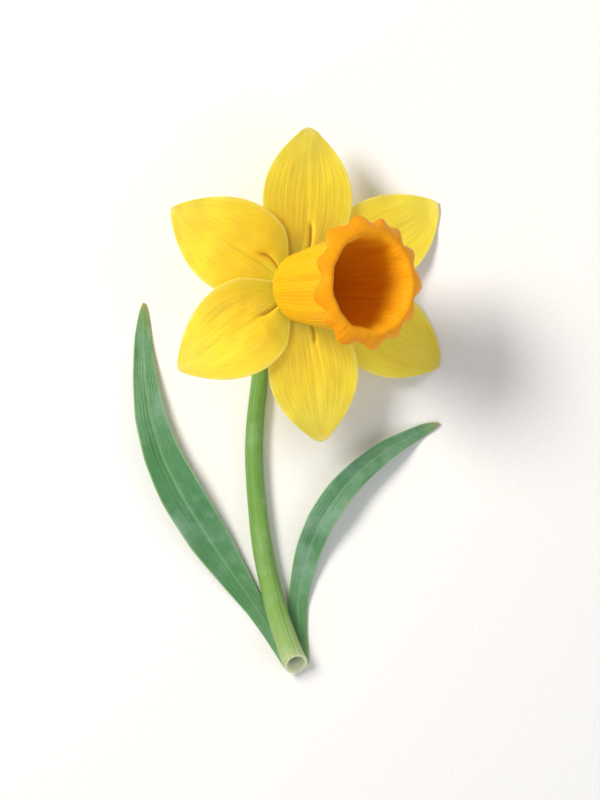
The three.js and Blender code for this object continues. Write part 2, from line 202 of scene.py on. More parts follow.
@dataclass(frozen=True)
class FlowerFrame:
    """The flower's own directions: along its axis, and right and up as its face is seen from above.

    Attributes:
        centre: Where the axis passes the tepals.
        lean: How far the axis leans from upright, in radians.
        turn: Which way it leans, in radians from +X.
    """

    centre: Vector = field(default_factory=lambda: Vector((3.6, 35.3, 31.0)))
    lean: float = math.radians(37.5)
    turn: float = math.radians(3.0)

    @cached_property
    def axis(self) -> Vector:
        """The way that the corona points."""
        level = math.sin(self.lean)
        return Vector((level * math.cos(self.turn), level * math.sin(self.turn), math.cos(self.lean)))

    @cached_property
    def across(self) -> Vector:
        """Azimuth 0 round the axis."""
        level = math.cos(self.lean)
        return Vector((level * math.cos(self.turn), level * math.sin(self.turn), -math.sin(self.lean)))

    @cached_property
    def upward(self) -> Vector:
        """A quarter turn on from azimuth 0."""
        return self.axis.cross(self.across)

    def outwards(self, azimuth: float) -> Vector:
        """The direction away from the axis at an azimuth in radians."""
        return self.across * math.cos(azimuth) + self.upward * math.sin(azimuth)

    def point(self, along: float, radius: float, azimuth: float) -> Vector:
        """A point by its place along the axis, its radius and its azimuth in radians."""
        return self.centre + self.axis * along + self.outwards(azimuth) * radius

    def polar(self, point: Vector) -> Triple:
        """Finds a point's place round the axis.

        Args:
            point: The point, in millimetres.

        Returns:
            Its place along the axis, its radius and its azimuth in radians.
        """
        offset = point - self.centre
        right, up = offset.dot(self.across), offset.dot(self.upward)
        return offset.dot(self.axis), math.hypot(right, up), math.atan2(up, right)

    def from_above(self, heading: float, along: float, aside: float) -> Pair:
        """X and Y of a place along and left of the line that leaves the centre at a heading."""
        cos, sin = math.cos(heading), math.sin(heading)
        return self.centre.x + along * cos - aside * sin, self.centre.y + along * sin + aside * cos


# Meshes


def round_grain(azimuth: float, share: float) -> Triple:
    """The grain of a round piece: the cosine and sine of the azimuth, and the share along it."""
    return math.cos(azimuth), math.sin(azimuth), share


def bent_grid(
    rows: int, columns: int, place: Surface, grain: Callable[[float, float], Triple], closed: bool = False
) -> Mesh:
    """Bends a grid into a surface.

    Args:
        rows: Faces along it.
        columns: Faces across it.
        place: Gives the point, in millimetres, at a share along and a share across.
        grain: Gives the three numbers that the finish follows at the same place.
        closed: True where the last column meets the first, as round a stem.

    Returns:
        The mesh, in metres, with the layer "grain".
    """
    mesh = bmesh.new()
    mesh.loops.layers.uv.new("UVMap")
    layer = mesh.verts.layers.float_vector.new("grain")
    bmesh.ops.create_grid(mesh, x_segments=columns, y_segments=rows, size=1.0, calc_uvs=True)
    seam = []
    for vert in mesh.verts:
        along, across = (vert.co.y + 1) / 2, (vert.co.x + 1) / 2
        if closed and min(across, 1 - across) < SAME_PLACE:
            seam.append(vert)
        vert[layer] = grain(along, across)
        vert.co = place(along, across) * MM
    if closed:
        bmesh.ops.remove_doubles(mesh, verts=seam, dist=MERGE_MM * MM)
    return mesh


def close_ends(mesh: Mesh) -> list[bmesh.types.BMFace]:
    """Closes the open rings of a tube with one face each, and returns those faces."""
    open_edges = [edge for edge in mesh.edges if edge.is_boundary]
    return bmesh.ops.holes_fill(mesh, edges=open_edges, sides=0)["faces"]


def smooth_profile(rows: Rows, steps: int) -> list[list[float]]:
    """Points at even steps of a smooth curve through a profile's rows."""
    curve = SmoothRows(rows)
    return [curve.at(k / steps) for k in range(steps + 1)]


def turned(
    profile: Rows, frame: FlowerFrame, steps: int, ends: Pair, swell: Callable[[float, float], float]
) -> Mesh:
    """Spins a profile round the flower's axis.

    Args:
        profile: Pairs of a place along the axis and a radius. Where the last is the first, it is a ring.
        frame: The flower's directions.
        steps: Faces round the axis.
        ends: The places along the axis where the piece starts and ends.
        swell: Gives what the radius is multiplied by, at a place along the axis and an azimuth.

    Returns:
        The mesh, in metres, with its seam and poles merged and the layer "grain".
    """
    mesh = bmesh.new()
    layer = mesh.verts.layers.float_vector.new("grain")
    ring = profile[0] == profile[-1]
    corners = profile[:-1] if ring else profile
    verts = [mesh.verts.new(frame.point(along, radius, 0.0) * MM) for along, radius in corners]
    edges = [mesh.edges.new(pair) for pair in zip(verts, verts[1:])]
    if ring:
        edges.append(mesh.edges.new((verts[-1], verts[0])))
    bmesh.ops.spin(
        mesh,
        geom=verts + edges,
        cent=frame.centre * MM,
        axis=frame.axis,
        dvec=(0, 0, 0),
        angle=TURN,
        steps=steps,
        use_merge=True,
        use_duplicate=False,
    )
    bmesh.ops.remove_doubles(mesh, verts=mesh.verts, dist=MERGE_MM * MM)
    for vert in mesh.verts:
        along, radius, azimuth = frame.polar(vert.co / MM)
        vert[layer] = round_grain(azimuth, (along - ends[0]) / (ends[1] - ends[0]))
        vert.co = frame.point(along, radius * swell(along, azimuth), azimuth) * MM
    return mesh


def thin_out(mesh: Mesh, share: Callable[[Vector], float]) -> None:
    """Sets how much of its wall's thickness a surface keeps at each vertex.

    Args:
        mesh: The surface.
        share: Gives the share that it keeps, from 0 to 1, from a vertex's grain.
    """
    mesh.verts.layers.deform.new()
    weight = mesh.verts.layers.deform.active
    grain = mesh.verts.layers.float_vector["grain"]
    for vert in mesh.verts:
        vert[weight][0] = share(vert[grain])


def face_outwards(mesh: Mesh) -> None:
    """Turns the faces of a mesh one way, and those of each closed shell outwards.

    Args:
        mesh: The mesh.
    """
    bmesh.ops.recalc_face_normals(mesh, faces=mesh.faces)
    waiting = set(mesh.faces)
    while waiting:
        shell = [waiting.pop()]
        for face in shell:
            beside = {other for edge in face.edges for other in edge.link_faces} & waiting
            waiting -= beside
            shell.extend(beside)
        middles = [face.calc_center_median() for face in shell]
        centre = sum(middles, Vector()) / len(shell)
        volume = sum(face.normal.dot(at - centre) * face.calc_area() for face, at in zip(shell, middles))
        if volume < 0 and all(edge.is_manifold for face in shell for edge in face.edges):
            bmesh.ops.reverse_faces(mesh, faces=shell)


@dataclass(frozen=True)
class Sheet:
    """The grid of a blade, whose faces crowd towards its rim.

    Attributes:
        rows: Faces along it.
        columns: Faces across it.
        tip: The share of the rows that crowd, and the share of the length that they crowd into.
        edge: The same for the columns, towards both edges.
        last_row: The share of the length where the rows end.
    """

    rows: int
    columns: int
    tip: Pair
    edge: Pair
    last_row: float = 1.0

    def along(self, row: float) -> float:
        """The share of the length at a row from 0 to 1."""
        return self.last_row * crowded(row, *self.tip)

    def side(self, column: float) -> float:
        """The place across, from -1 to 1, at a column from 0 to 1."""
        side = 2 * column - 1
        return math.copysign(crowded(abs(side), *self.edge), side)

    def bent(self, surface: Surface, seed: float) -> Mesh:
        """Bends the sheet into a blade.

        Args:
            surface: Gives the point, in millimetres, at a share of the length and a place across.
            seed: A number that tells the blades of one finish apart.

        Returns:
            The mesh. Its grain is the place across, the share of the length, and the seed.
        """
        return bent_grid(
            self.rows,
            self.columns,
            lambda row, column: surface(self.along(row), self.side(column)),
            lambda row, column: (self.side(column), self.along(row), seed),
        )


class Slot(Enum):
    """The record's material slots."""

    STEM = "stem"
    SPATHE = "spathe"
    PISTIL = "pistil"
    FLORAL_TUBE = "floral_tube"
    TEPAL = "tepal"
    CORONA = "corona"
    LEAF = "leaf"


def add_piece(
    name: str, mesh: Mesh, node: str, slot: Slot, finishes: Sequence[Material], wall: float = 0.0
) -> None:
    """Turns a mesh into a piece of the plant, at the origin, that stands for a node of the frame.

    Args:
        name: The piece's name.
        mesh: Its mesh, in metres, which is used up.
        node: The node that it replaces.
        slot: The record's slot that its finish belongs to. It is not used.
        finishes: Its materials, in the order of its faces' material numbers.
        wall: The thickness that a surface gets, in millimetres, where it is not thinned out.
    """
    face_outwards(mesh)
    for face in mesh.faces:
        face.smooth = True
    data = bpy.data.meshes.new(name)
    mesh.to_mesh(data)
    mesh.free()
    piece = bpy.data.objects.new(name, data)
    bpy.context.scene.collection.objects.link(piece)
    for finish in finishes:
        data.materials.append(finish)
    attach(piece, "root")
    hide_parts(node)
    if wall:
        solid = piece.modifiers.new("wall", "SOLIDIFY")
        solid.thickness = wall * MM
        solid.offset = 0.0
        solid.vertex_group = piece.vertex_groups.new(name="thickness").name
    log.info("%s: %d faces for node %s", name, len(data.polygons), node)


class SubAssembly(ABC):
    """A part of the picture that builds its meshes and dresses them."""

    @abstractmethod
    def build(self) -> None:
        """Builds it and dresses it."""


# Finishes


def srgb(code: str) -> Colour:
    """The linear colour of a six-figure screen colour."""
    parts = [int(code[k : k + 2], 16) / 255 for k in (0, 2, 4)]
    return (*(part / 12.92 if part <= 0.04045 else ((part + 0.055) / 1.055) ** 2.4 for part in parts), 1.0)


class Finish(ABC):
    """A finish, made as a material whose colours are laid one over the next.

    Attributes:
        name: The material's name.
        roughness: Its roughness, where no pattern changes it.
        specular: How strongly it shines.
        lengthwise: Its run of colours from foot to tip, as pairs of a place and a screen colour.
    """

    name: str
    roughness: float = 0.5
    specular: float
    lengthwise: Stops = ()

    def __init__(self) -> None:
        """Starts the material with its shader."""
        self.material = bpy.data.materials.new(self.name)
        self.material.use_nodes = True
        self.tree = self.material.node_tree
        self.tree.nodes.clear()
        shine = {"Roughness": self.roughness, "Specular IOR Level": self.specular}
        self.shader = self.node("BsdfPrincipled", shine)
        self.node("OutputMaterial", {"Surface": self.shader.outputs["BSDF"]})
        self.colour: object = None

    @abstractmethod
    def paint(self) -> None:
        """Lays the colours, and adds the relief and the glow."""

    def make(self) -> Material:
        """Paints the material.

        Returns:
            The material.
        """
        self.paint()
        self.fill(self.shader, {"Base Color": self.colour})
        return self.material

    def fill(self, node: bpy.types.Node, inputs: Inputs) -> bpy.types.Node:
        """Fills a node's inputs.

        Args:
            node: The node.
            inputs: A socket to link or a plain value for each, by its name or number.

        Returns:
            The node.
        """
        for key, value in inputs.items():
            if isinstance(value, Socket):
                self.tree.links.new(value, node.inputs[key])
            else:
                node.inputs[key].default_value = value
        return node

    def node(self, kind: str, inputs: Inputs, **settings: object) -> bpy.types.Node:
        """Adds a node.

        Args:
            kind: The end of its type's name.
            inputs: What its inputs are filled with.
            settings: The node's own settings.

        Returns:
            The node.
        """
        made = self.tree.nodes.new("ShaderNode" + kind)
        for name, value in settings.items():
            setattr(made, name, value)
        return self.fill(made, inputs)

    def attribute(self, name: str, output: str = "Fac") -> Socket:
        """What the mesh carries under a name, as a number or by the name of the output."""
        return self.node("Attribute", {}, attribute_name=name).outputs[output]

    @cached_property
    def grain(self) -> Socket:
        """The piece's own place numbers, as a vector."""
        return self.attribute("grain", "Vector")

    def part(self, axis: str) -> Socket:
        """One of the grain's three numbers."""
        return self.node("SeparateXYZ", {"Vector": self.grain}).outputs[axis]

    @cached_property
    def reach(self) -> Socket:
        """How far out a place on a blade is, from 0 in its middle to 1 at its edges."""
        return self.math("ABSOLUTE", self.part("X"))

    @cached_property
    def place(self) -> Socket:
        """The place on the object, in metres."""
        return self.node("TexCoord", {}).outputs["Object"]

    def noise(self, vector: Socket, scale: float, detail: float, rough: float) -> Socket:
        """Cloudy noise of about 0 to 1."""
        inputs = {"Vector": vector, "Scale": scale, "Detail": detail, "Roughness": rough}
        return self.node("TexNoise", inputs).outputs["Fac"]

    def fibres(self, scale: Triple, detail: float = 2.0, rough: float = 0.5) -> Socket:
        """Noise drawn out along the grain, with a scale for each of its numbers."""
        mapping = self.node("Mapping", {"Vector": self.grain, "Scale": scale})
        return self.noise(mapping.outputs["Vector"], 1.0, detail, rough)

    def flecks(self, scale: float, detail: float = 2.0, rough: float = 0.5) -> Socket:
        """Noise that follows the place on the object."""
        return self.noise(self.place, scale, detail, rough)

    def cells(self, scale: float) -> Socket:
        """The distance from the middle of the nearest of many small cells."""
        return self.node("TexVoronoi", {"Vector": self.place, "Scale": scale}).outputs["Distance"]

    def math(self, operation: str, first: object, second: object = 0.0) -> Socket:
        """The result of one sum of one or two numbers or sockets."""
        return self.node("Math", {0: first, 1: second}, operation=operation).outputs[0]

    def span(self, value: Socket, window: Pair, low: float, high: float) -> Socket:
        """A number carried softly from low to high as the value passes a window."""
        inputs = {"Value": value, "From Min": window[0], "From Max": window[1], "To Min": low, "To Max": high}
        return self.node("MapRange", inputs, interpolation_type="SMOOTHSTEP").outputs["Result"]

    def base(self, value: Socket) -> None:
        """Starts the colour with the lengthwise run.

        Args:
            value: What the run follows, from 0 to 1.
        """
        node = self.node("ValToRGB", {"Fac": value})
        first, *inner, last = [(position, srgb(code)) for position, code in self.lengthwise]
        elements = node.color_ramp.elements
        elements[0].position, elements[0].color = first
        elements[1].position, elements[1].color = last
        for position, colour in inner:
            elements.new(position).color = colour
        self.colour = node.outputs["Color"]

    def tint(self, share: Socket, code: str) -> None:
        """Lays a screen colour over what is there, by a share of 0 to 1."""
        inputs = {0: share, 6: self.colour, 7: srgb(code)}
        self.colour = self.node("Mix", inputs, data_type="RGBA").outputs[2]

    def wash(self, pattern: Socket, window: Pair, share: float, code: str) -> None:
        """Lays a screen colour over what is there, by a share that grows over a window of a pattern."""
        self.tint(self.span(pattern, window, 0.0, share), code)

    def dull(self, pattern: Socket, window: Pair, ends: Pair) -> None:
        """Makes the roughness go between two ends over a window of a pattern."""
        self.fill(self.shader, {"Roughness": self.span(pattern, window, *ends)})

    def relief(self, heights: Sequence[tuple[Socket, float]], strength: float) -> None:
        """Adds bump.

        Args:
            heights: Pairs of a pattern and its height in millimetres.
            strength: How strongly the bump shows.
        """
        total: object = 0.0
        for pattern, height in heights:
            total = self.math("ADD", self.math("MULTIPLY", pattern, height), total)
        bump = self.node("Bump", {"Strength": strength, "Distance": MM, "Height": total})
        self.fill(self.shader, {"Normal": bump.outputs["Normal"]})

    def glow(self, weight: float, reach: Triple, depth: float) -> None:
        """Lets light soak in to a depth in millimetres, with a reach for each primary colour."""
        inputs = {"Subsurface Weight": weight, "Subsurface Radius": reach, "Subsurface Scale": depth * MM}
        self.fill(self.shader, inputs)


class TepalSkin(Finish):
    """Clear yellow petal skin with fine veins from root to tip, darkened to brown in the fold by the corona
    as painted shade.

    Its grain is the place across (-1 to 1), along (0 to 1), and a number that tells the tepals apart.
    """

    name = "tepal_skin"
    specular = 0.35
    lengthwise = (
        (0.0, "B9BE2E"), (0.1, "E2CF2B"), (0.24, "F8DB28"), (0.6, "FEE634"), (0.93, "FDE64C"),
        (1.0, "F1E68A"),
    )
    vein = "E6B51A"
    light = "FFF2A0"
    edge = "FBEB78"
    cloud = "E9B41C"
    rib = "A9A822"
    # painted shade: the brown laid in the fold by the corona stands in for the shadow in its crease
    fold = "B8860B"
    down = "FFF6C0"
    veins = 24.0

    def paint(self) -> None:
        """Lays the colours, and adds the relief and the glow."""
        along = self.part("Y")
        streaks = self.fibres((self.veins, 2.4, 9.0), 3.0, 0.62)
        fine = self.fibres((self.veins * 3.2, 5.0, 9.0))
        self.base(along)
        self.wash(streaks, (0.45, 0.8), 0.5, self.vein)
        self.wash(fine, (0.42, 0.85), 0.2, self.light)
        self.wash(self.reach, (0.86, 1.0), 0.6, self.edge)
        self.wash(self.fibres((2.0, 3.2, 5.0)), (0.3, 0.75), 0.22, self.cloud)
        middle = self.span(self.reach, (0.0, 0.05), 1.0, 0.0)
        self.tint(self.math("MULTIPLY", middle, self.span(along, (0.1, 0.8), 0.35, 0.0)), self.rib)
        # painted shade: darkens the fold by the corona to brown, in place of the shadow in its crease
        self.wash(self.attribute("fold"), (0.25, 1.0), 0.8, self.fold)
        self.dull(streaks, (0.3, 0.7), (0.44, 0.6))
        self.relief([(streaks, 0.22), (fine, 0.09), (self.cells(3400.0), 0.02)], 0.8)
        self.glow(0.3, (1.0, 0.65, 0.12), 1.2)
        self.fill(self.shader, {"Sheen Weight": 0.12, "Sheen Roughness": 0.45, "Sheen Tint": srgb(self.down)})


class CoronaSkin(Finish):
    """Deep golden skin, fluted from the throat to the lip.

    Its grain is the cosine and sine of the azimuth, and the share along the profile.
    """

    name = "corona_skin"
    specular = 0.18
    lengthwise = (
        (0.0, "D3BE28"), (0.1, "F2BC20"), (0.4, "F8B41B"), (0.7, "FAAB17"), (0.9, "F8A414"),
        (1.0, "F59A0F"),
    )
    rib = "E0860C"
    light = "FFC648"
    shine = "FFD79A"
    ribs = 13.0

    def paint(self) -> None:
        """Lays the colours, and adds the relief and the glow."""
        streaks = self.fibres((self.ribs, self.ribs, 1.6), 3.0, 0.6)
        fine = self.fibres((44.0, 44.0, 5.0))
        self.base(self.part("Z"))
        self.wash(streaks, (0.42, 0.85), 0.5, self.rib)
        self.wash(fine, (0.45, 0.9), 0.25, self.light)
        self.dull(fine, (0.3, 0.7), (0.4, 0.56))
        self.relief([(streaks, 0.3), (fine, 0.12), (self.cells(2600.0), 0.03)], 0.8)
        self.fill(self.shader, {"Specular Tint": srgb(self.shine)})
        self.glow(0.6, (1.0, 0.66, 0.14), 1.2)


class TubeSkin(Finish):
    """Yellow of the tube's mouth that turns to the green of the ovary. Its grain is as the corona's."""

    name = "floral_tube_skin"
    roughness = 0.48
    specular = 0.4
    lengthwise = ((0.0, "6E9A35"), (0.3, "A6BA3C"), (0.6, "E0D645"), (1.0, "F3D436"))

    def paint(self) -> None:
        """Lays the colours, and adds the relief and the glow."""
        streaks = self.fibres((7.0, 7.0, 0.8), 3.0)
        ragged = self.math("MULTIPLY", self.math("SUBTRACT", streaks, 0.5), 0.5)
        self.base(self.math("ADD", self.part("Z"), ragged))
        self.relief([(streaks, 0.25)], 0.7)
        self.glow(0.15, (0.8, 0.8, 0.15), 0.9)


class PistilSkin(Finish):
    """Shining green ovary, pale style and sticky yellow-green stigma. Its grain is as the corona's."""

    name = "pistil_skin"
    roughness = 0.36
    specular = 0.5
    lengthwise = (
        (0.0, "5E8C34"), (0.2, "6C9A38"), (0.26, "A9BE55"), (0.5, "DDDC86"), (0.92, "E6DD7A"),
        (1.0, "E8D35A"),
    )
    fleck = "8BB04C"

    def paint(self) -> None:
        """Lays the colours, and adds the relief and the glow."""
        flecks = self.flecks(1500.0, 3.0)
        self.base(self.part("Z"))
        self.wash(flecks, (0.4, 0.7), 0.3, self.fleck)
        self.relief([(flecks, 0.05)], 0.6)
        self.glow(0.15, (0.7, 0.9, 0.2), 0.8)


class Filament(Finish):
    """Pale, smooth thread that carries an anther."""

    name = "filament_skin"
    roughness = 0.42
    specular = 0.4
    pale = "E9E08C"
    fleck = "D9CF66"

    def paint(self) -> None:
        """Lays the colours, and adds the glow."""
        self.colour = srgb(self.pale)
        self.wash(self.flecks(900.0), (0.35, 0.7), 1.0, self.fleck)
        self.glow(0.2, (0.9, 0.8, 0.3), 0.7)


class Pollen(Finish):
    """Powdery gold of a ripe anther."""

    name = "anther_pollen"
    roughness = 0.85
    specular = 0.15
    pale = "FFE77C"
    gold = "F0C43E"
    dust = "FFF3B0"

    def paint(self) -> None:
        """Lays the colours, and adds the relief."""
        grains = self.cells(5200.0)
        clumps = self.flecks(1600.0, 3.0)
        self.colour = srgb(self.pale)
        self.wash(grains, (0.1, 0.6), 1.0, self.gold)
        self.wash(clumps, (0.45, 0.75), 0.5, self.dust)
        self.relief([(grains, 0.06), (clumps, 0.12)], 0.9)


class StemSkin(Finish):
    """Waxy green stem with fine stripes, pale at the foot. Its grain is as the corona's."""

    name = "stem_skin"
    specular = 0.5
    lengthwise = (
        (0.0, "C4CF8E"), (0.05, "9DB868"), (0.16, "7FA84C"), (0.5, "6B9A40"), (0.85, "6F9F40"),
        (1.0, "7FA645"),
    )
    stripe = "4E7F30"
    light = "A5C56E"
    wax = "A9C9A0"

    def paint(self) -> None:
        """Lays the colours, and adds the relief and the glow."""
        stripes = self.fibres((9.0, 9.0, 3.0), 3.0, 0.6)
        fine = self.fibres((26.0, 26.0, 14.0))
        bloom = self.flecks(130.0, 4.0, 0.6)
        self.base(self.part("Z"))
        self.wash(stripes, (0.45, 0.75), 0.55, self.stripe)
        self.wash(fine, (0.5, 0.8), 0.35, self.light)
        self.wash(bloom, (0.45, 0.8), 0.3, self.wax)
        self.dull(bloom, (0.35, 0.75), (0.34, 0.56))
        self.relief([(stripes, 0.2), (fine, 0.06)], 0.8)
        self.glow(0.1, (0.5, 0.9, 0.2), 1.0)


class CutFlesh(Finish):
    """Wet, pale flesh where the stem was cut, with painted shade darkening the bottom of the recess in the
    cut.
    """

    name = "cut_flesh"
    roughness = 0.3
    specular = 0.5
    flesh = "C3D391"
    pith = "E4E9C2"
    # dark green painted shade for the bottom of the recess in the cut
    hollow_shade = "4C6128"

    def paint(self) -> None:
        """Lays the colours, and adds the relief and the glow."""
        fibres = self.cells(2200.0)
        self.colour = srgb(self.flesh)
        self.wash(fibres, (0.05, 0.5), 1.0, self.pith)
        # painted shade: tints the bottom of the recess in the cut dark green
        self.tint(self.attribute("hollow_shade"), self.hollow_shade)
        self.relief([(fibres, 0.12)], 0.8)
        self.glow(0.25, (0.8, 0.9, 0.5), 1.0)


class LeafSkin(Finish):
    """Blue-green strap leaf with a waxy bloom and parallel veins. Its grain is as a tepal's."""

    name = "leaf_skin"
    specular = 0.45
    lengthwise = (
        (0.0, "B7C892"), (0.05, "8FB070"), (0.14, "5F9457"), (0.5, "4B8252"), (0.9, "4E8550"),
        (0.975, "78984E"), (1.0, "B09A55"),
    )
    stripe = "2F6440"
    light = "7FAE78"
    wax = "A3C3B2"
    edge = "A8C98A"
    rib = "8DB98A"
    veins = 13.0

    def paint(self) -> None:
        """Lays the colours, and adds the relief and the glow."""
        stripes = self.fibres((self.veins, 5.0, 7.0), 3.0, 0.65)
        fine = self.fibres((self.veins * 3.4, 22.0, 7.0))
        bloom = self.flecks(70.0, 4.0, 0.65)
        self.base(self.part("Y"))
        self.wash(stripes, (0.46, 0.75), 0.6, self.stripe)
        self.wash(fine, (0.5, 0.8), 0.3, self.light)
        self.wash(bloom, (0.42, 0.78), 0.42, self.wax)
        self.wash(self.reach, (0.9, 1.0), 0.5, self.edge)
        self.tint(self.span(self.reach, (0.0, 0.12), 0.35, 0.0), self.rib)
        self.dull(bloom, (0.35, 0.75), (0.38, 0.62))
        self.relief([(stripes, 0.22), (fine, 0.07)], 0.8)
        self.glow(0.1, (0.4, 0.8, 0.25), 0.8)


class DrySheath(Finish):
    """Brown, papery spathe with darker veins. Its grain is as a tepal's."""

    name = "spathe_paper"
    roughness = 0.78
    specular = 0.2
    lengthwise = ((0.0, "A9A765"), (0.12, "BFA56A"), (0.6, "C9AC78"), (1.0, "B08B58"))
    vein = "85643A"
    light = "E3CFA4"
    stain = "94703F"
    edge = "DDC79A"

    def paint(self) -> None:
        """Lays the colours, and adds the relief and the glow."""
        veins = self.fibres((11.0, 2.0, 3.0), 3.0, 0.6)
        fibres = self.fibres((46.0, 9.0, 3.0))
        self.base(self.part("Y"))
        self.wash(veins, (0.5, 0.72), 0.7, self.vein)
        self.wash(fibres, (0.5, 0.8), 0.4, self.light)
        self.wash(self.flecks(160.0, 3.0), (0.5, 0.75), 0.35, self.stain)
        self.wash(self.reach, (0.85, 1.0), 0.5, self.edge)
        self.relief([(veins, 0.3), (fibres, 0.1)], 0.9)
        self.glow(0.15, (1.0, 0.7, 0.4), 0.6)


class FloorPaint(Finish):
    """Plain pale floor."""

    name = "pale_floor"
    roughness = 0.7
    specular = 0.2
    pale = "F1F0EC"
    paler = "F4F3F0"

    def paint(self) -> None:
        """Lays the colours, and adds the relief."""
        tooth = self.flecks(900.0)
        self.colour = srgb(self.pale)
        self.wash(tooth, (0.3, 0.7), 1.0, self.paler)
        self.relief([(tooth, 0.02)], 0.3)


# Sub-assemblies of the flower


@dataclass
class FloralTube(SubAssembly):
    """The funnel that joins tepals, corona and ovary."""

    frame: FlowerFrame
    outside: tuple[Pair, ...] = (
        (-16.1, 2.75), (-15.75, 3.15), (-15, 3.32), (-12.5, 3.5), (-9, 4.6), (-6, 6.2), (-3.4, 7.9),
        (-1.8, 9), (-0.35, 9.3),
    )
    inside: tuple[Pair, ...] = (
        (-0.3, 9.1), (-0.7, 8.6), (-2, 7.9), (-3.6, 6.8), (-6.2, 5), (-9.2, 3.5), (-14, 1.2), (-16.1, 1.2),
    )
    grooves: int = 6
    groove: float = 0.035
    wall_steps: int = 28
    steps: int = 96

    @property
    def ends(self) -> Pair:
        """The places along the axis where the tube starts and ends."""
        return self.outside[0][0], self.outside[-1][0]

    def radius_at(self, along: float) -> float:
        """Reads the tube's outer radius.

        Args:
            along: The place along the flower's axis.

        Returns:
            The radius there.
        """
        for (low, radius), (high, next_radius) in zip(self.outside, self.outside[1:]):
            if low <= along <= high:
                return mix(radius, next_radius, (along - low) / (high - low))
        return self.outside[0 if along < 0 else -1][1]

    def swell(self, along: float, azimuth: float) -> float:
        """What the radius is multiplied by, so that grooves run along the tube."""
        share = (along - self.ends[0]) / (self.ends[1] - self.ends[0])
        return 1 + self.groove * math.cos(self.grooves * azimuth) * between(share, (0.02, 0.2), (0.55, 0.9))

    def build(self) -> None:
        """Builds the tube and dresses it."""
        outside = smooth_profile(self.outside, self.wall_steps)
        loop = [*outside, *smooth_profile(self.inside, self.wall_steps), outside[0]]
        mesh = turned(loop, self.frame, self.steps, self.ends, self.swell)
        add_piece("floral_tube_funnel", mesh, "floral_tube", Slot.FLORAL_TUBE, [TubeSkin().make()])


class Lies(Enum):
    """How one side of a tepal lies on the neighbouring tepal."""

    OVER = 1
    UNDER = -1


@dataclass(frozen=True)
class TepalSide:
    """One side of a tepal.

    Attributes:
        width: Its half width where it is widest.
        widest: The share of the length where that is.
        lies: How it lies on the neighbouring tepal.
    """

    width: float
    widest: float
    lies: Lies


@dataclass(frozen=True)
class TepalPlan:
    """A tepal as seen from above.

    Attributes:
        node: The node that it stands for.
        azimuth: The way that it points, in degrees.
        length: How far its tip is from the flower's middle.
        tip: The tip's height over the floor.
        left: Its left side, looking out from the middle.
        right: Its right side.
        fold: The fold by the corona: its place across at its foot and at its end, from -1 at the right
            edge to 1 at the left, and the share of the length where it ends.
        blunt_tip: How much broader its tip is than a plain point.
        bend: How far its tip bends to the left, in millimetres.
    """

    node: str
    azimuth: float
    length: float
    tip: float
    left: TepalSide
    right: TepalSide
    fold: Triple = (0.0, 0.0, 0.22)
    blunt_tip: float = 0.5
    bend: float = 0.0

    def edge(self, side: float) -> TepalSide:
        """The side that a place across is on."""
        return self.left if side > 0 else self.right


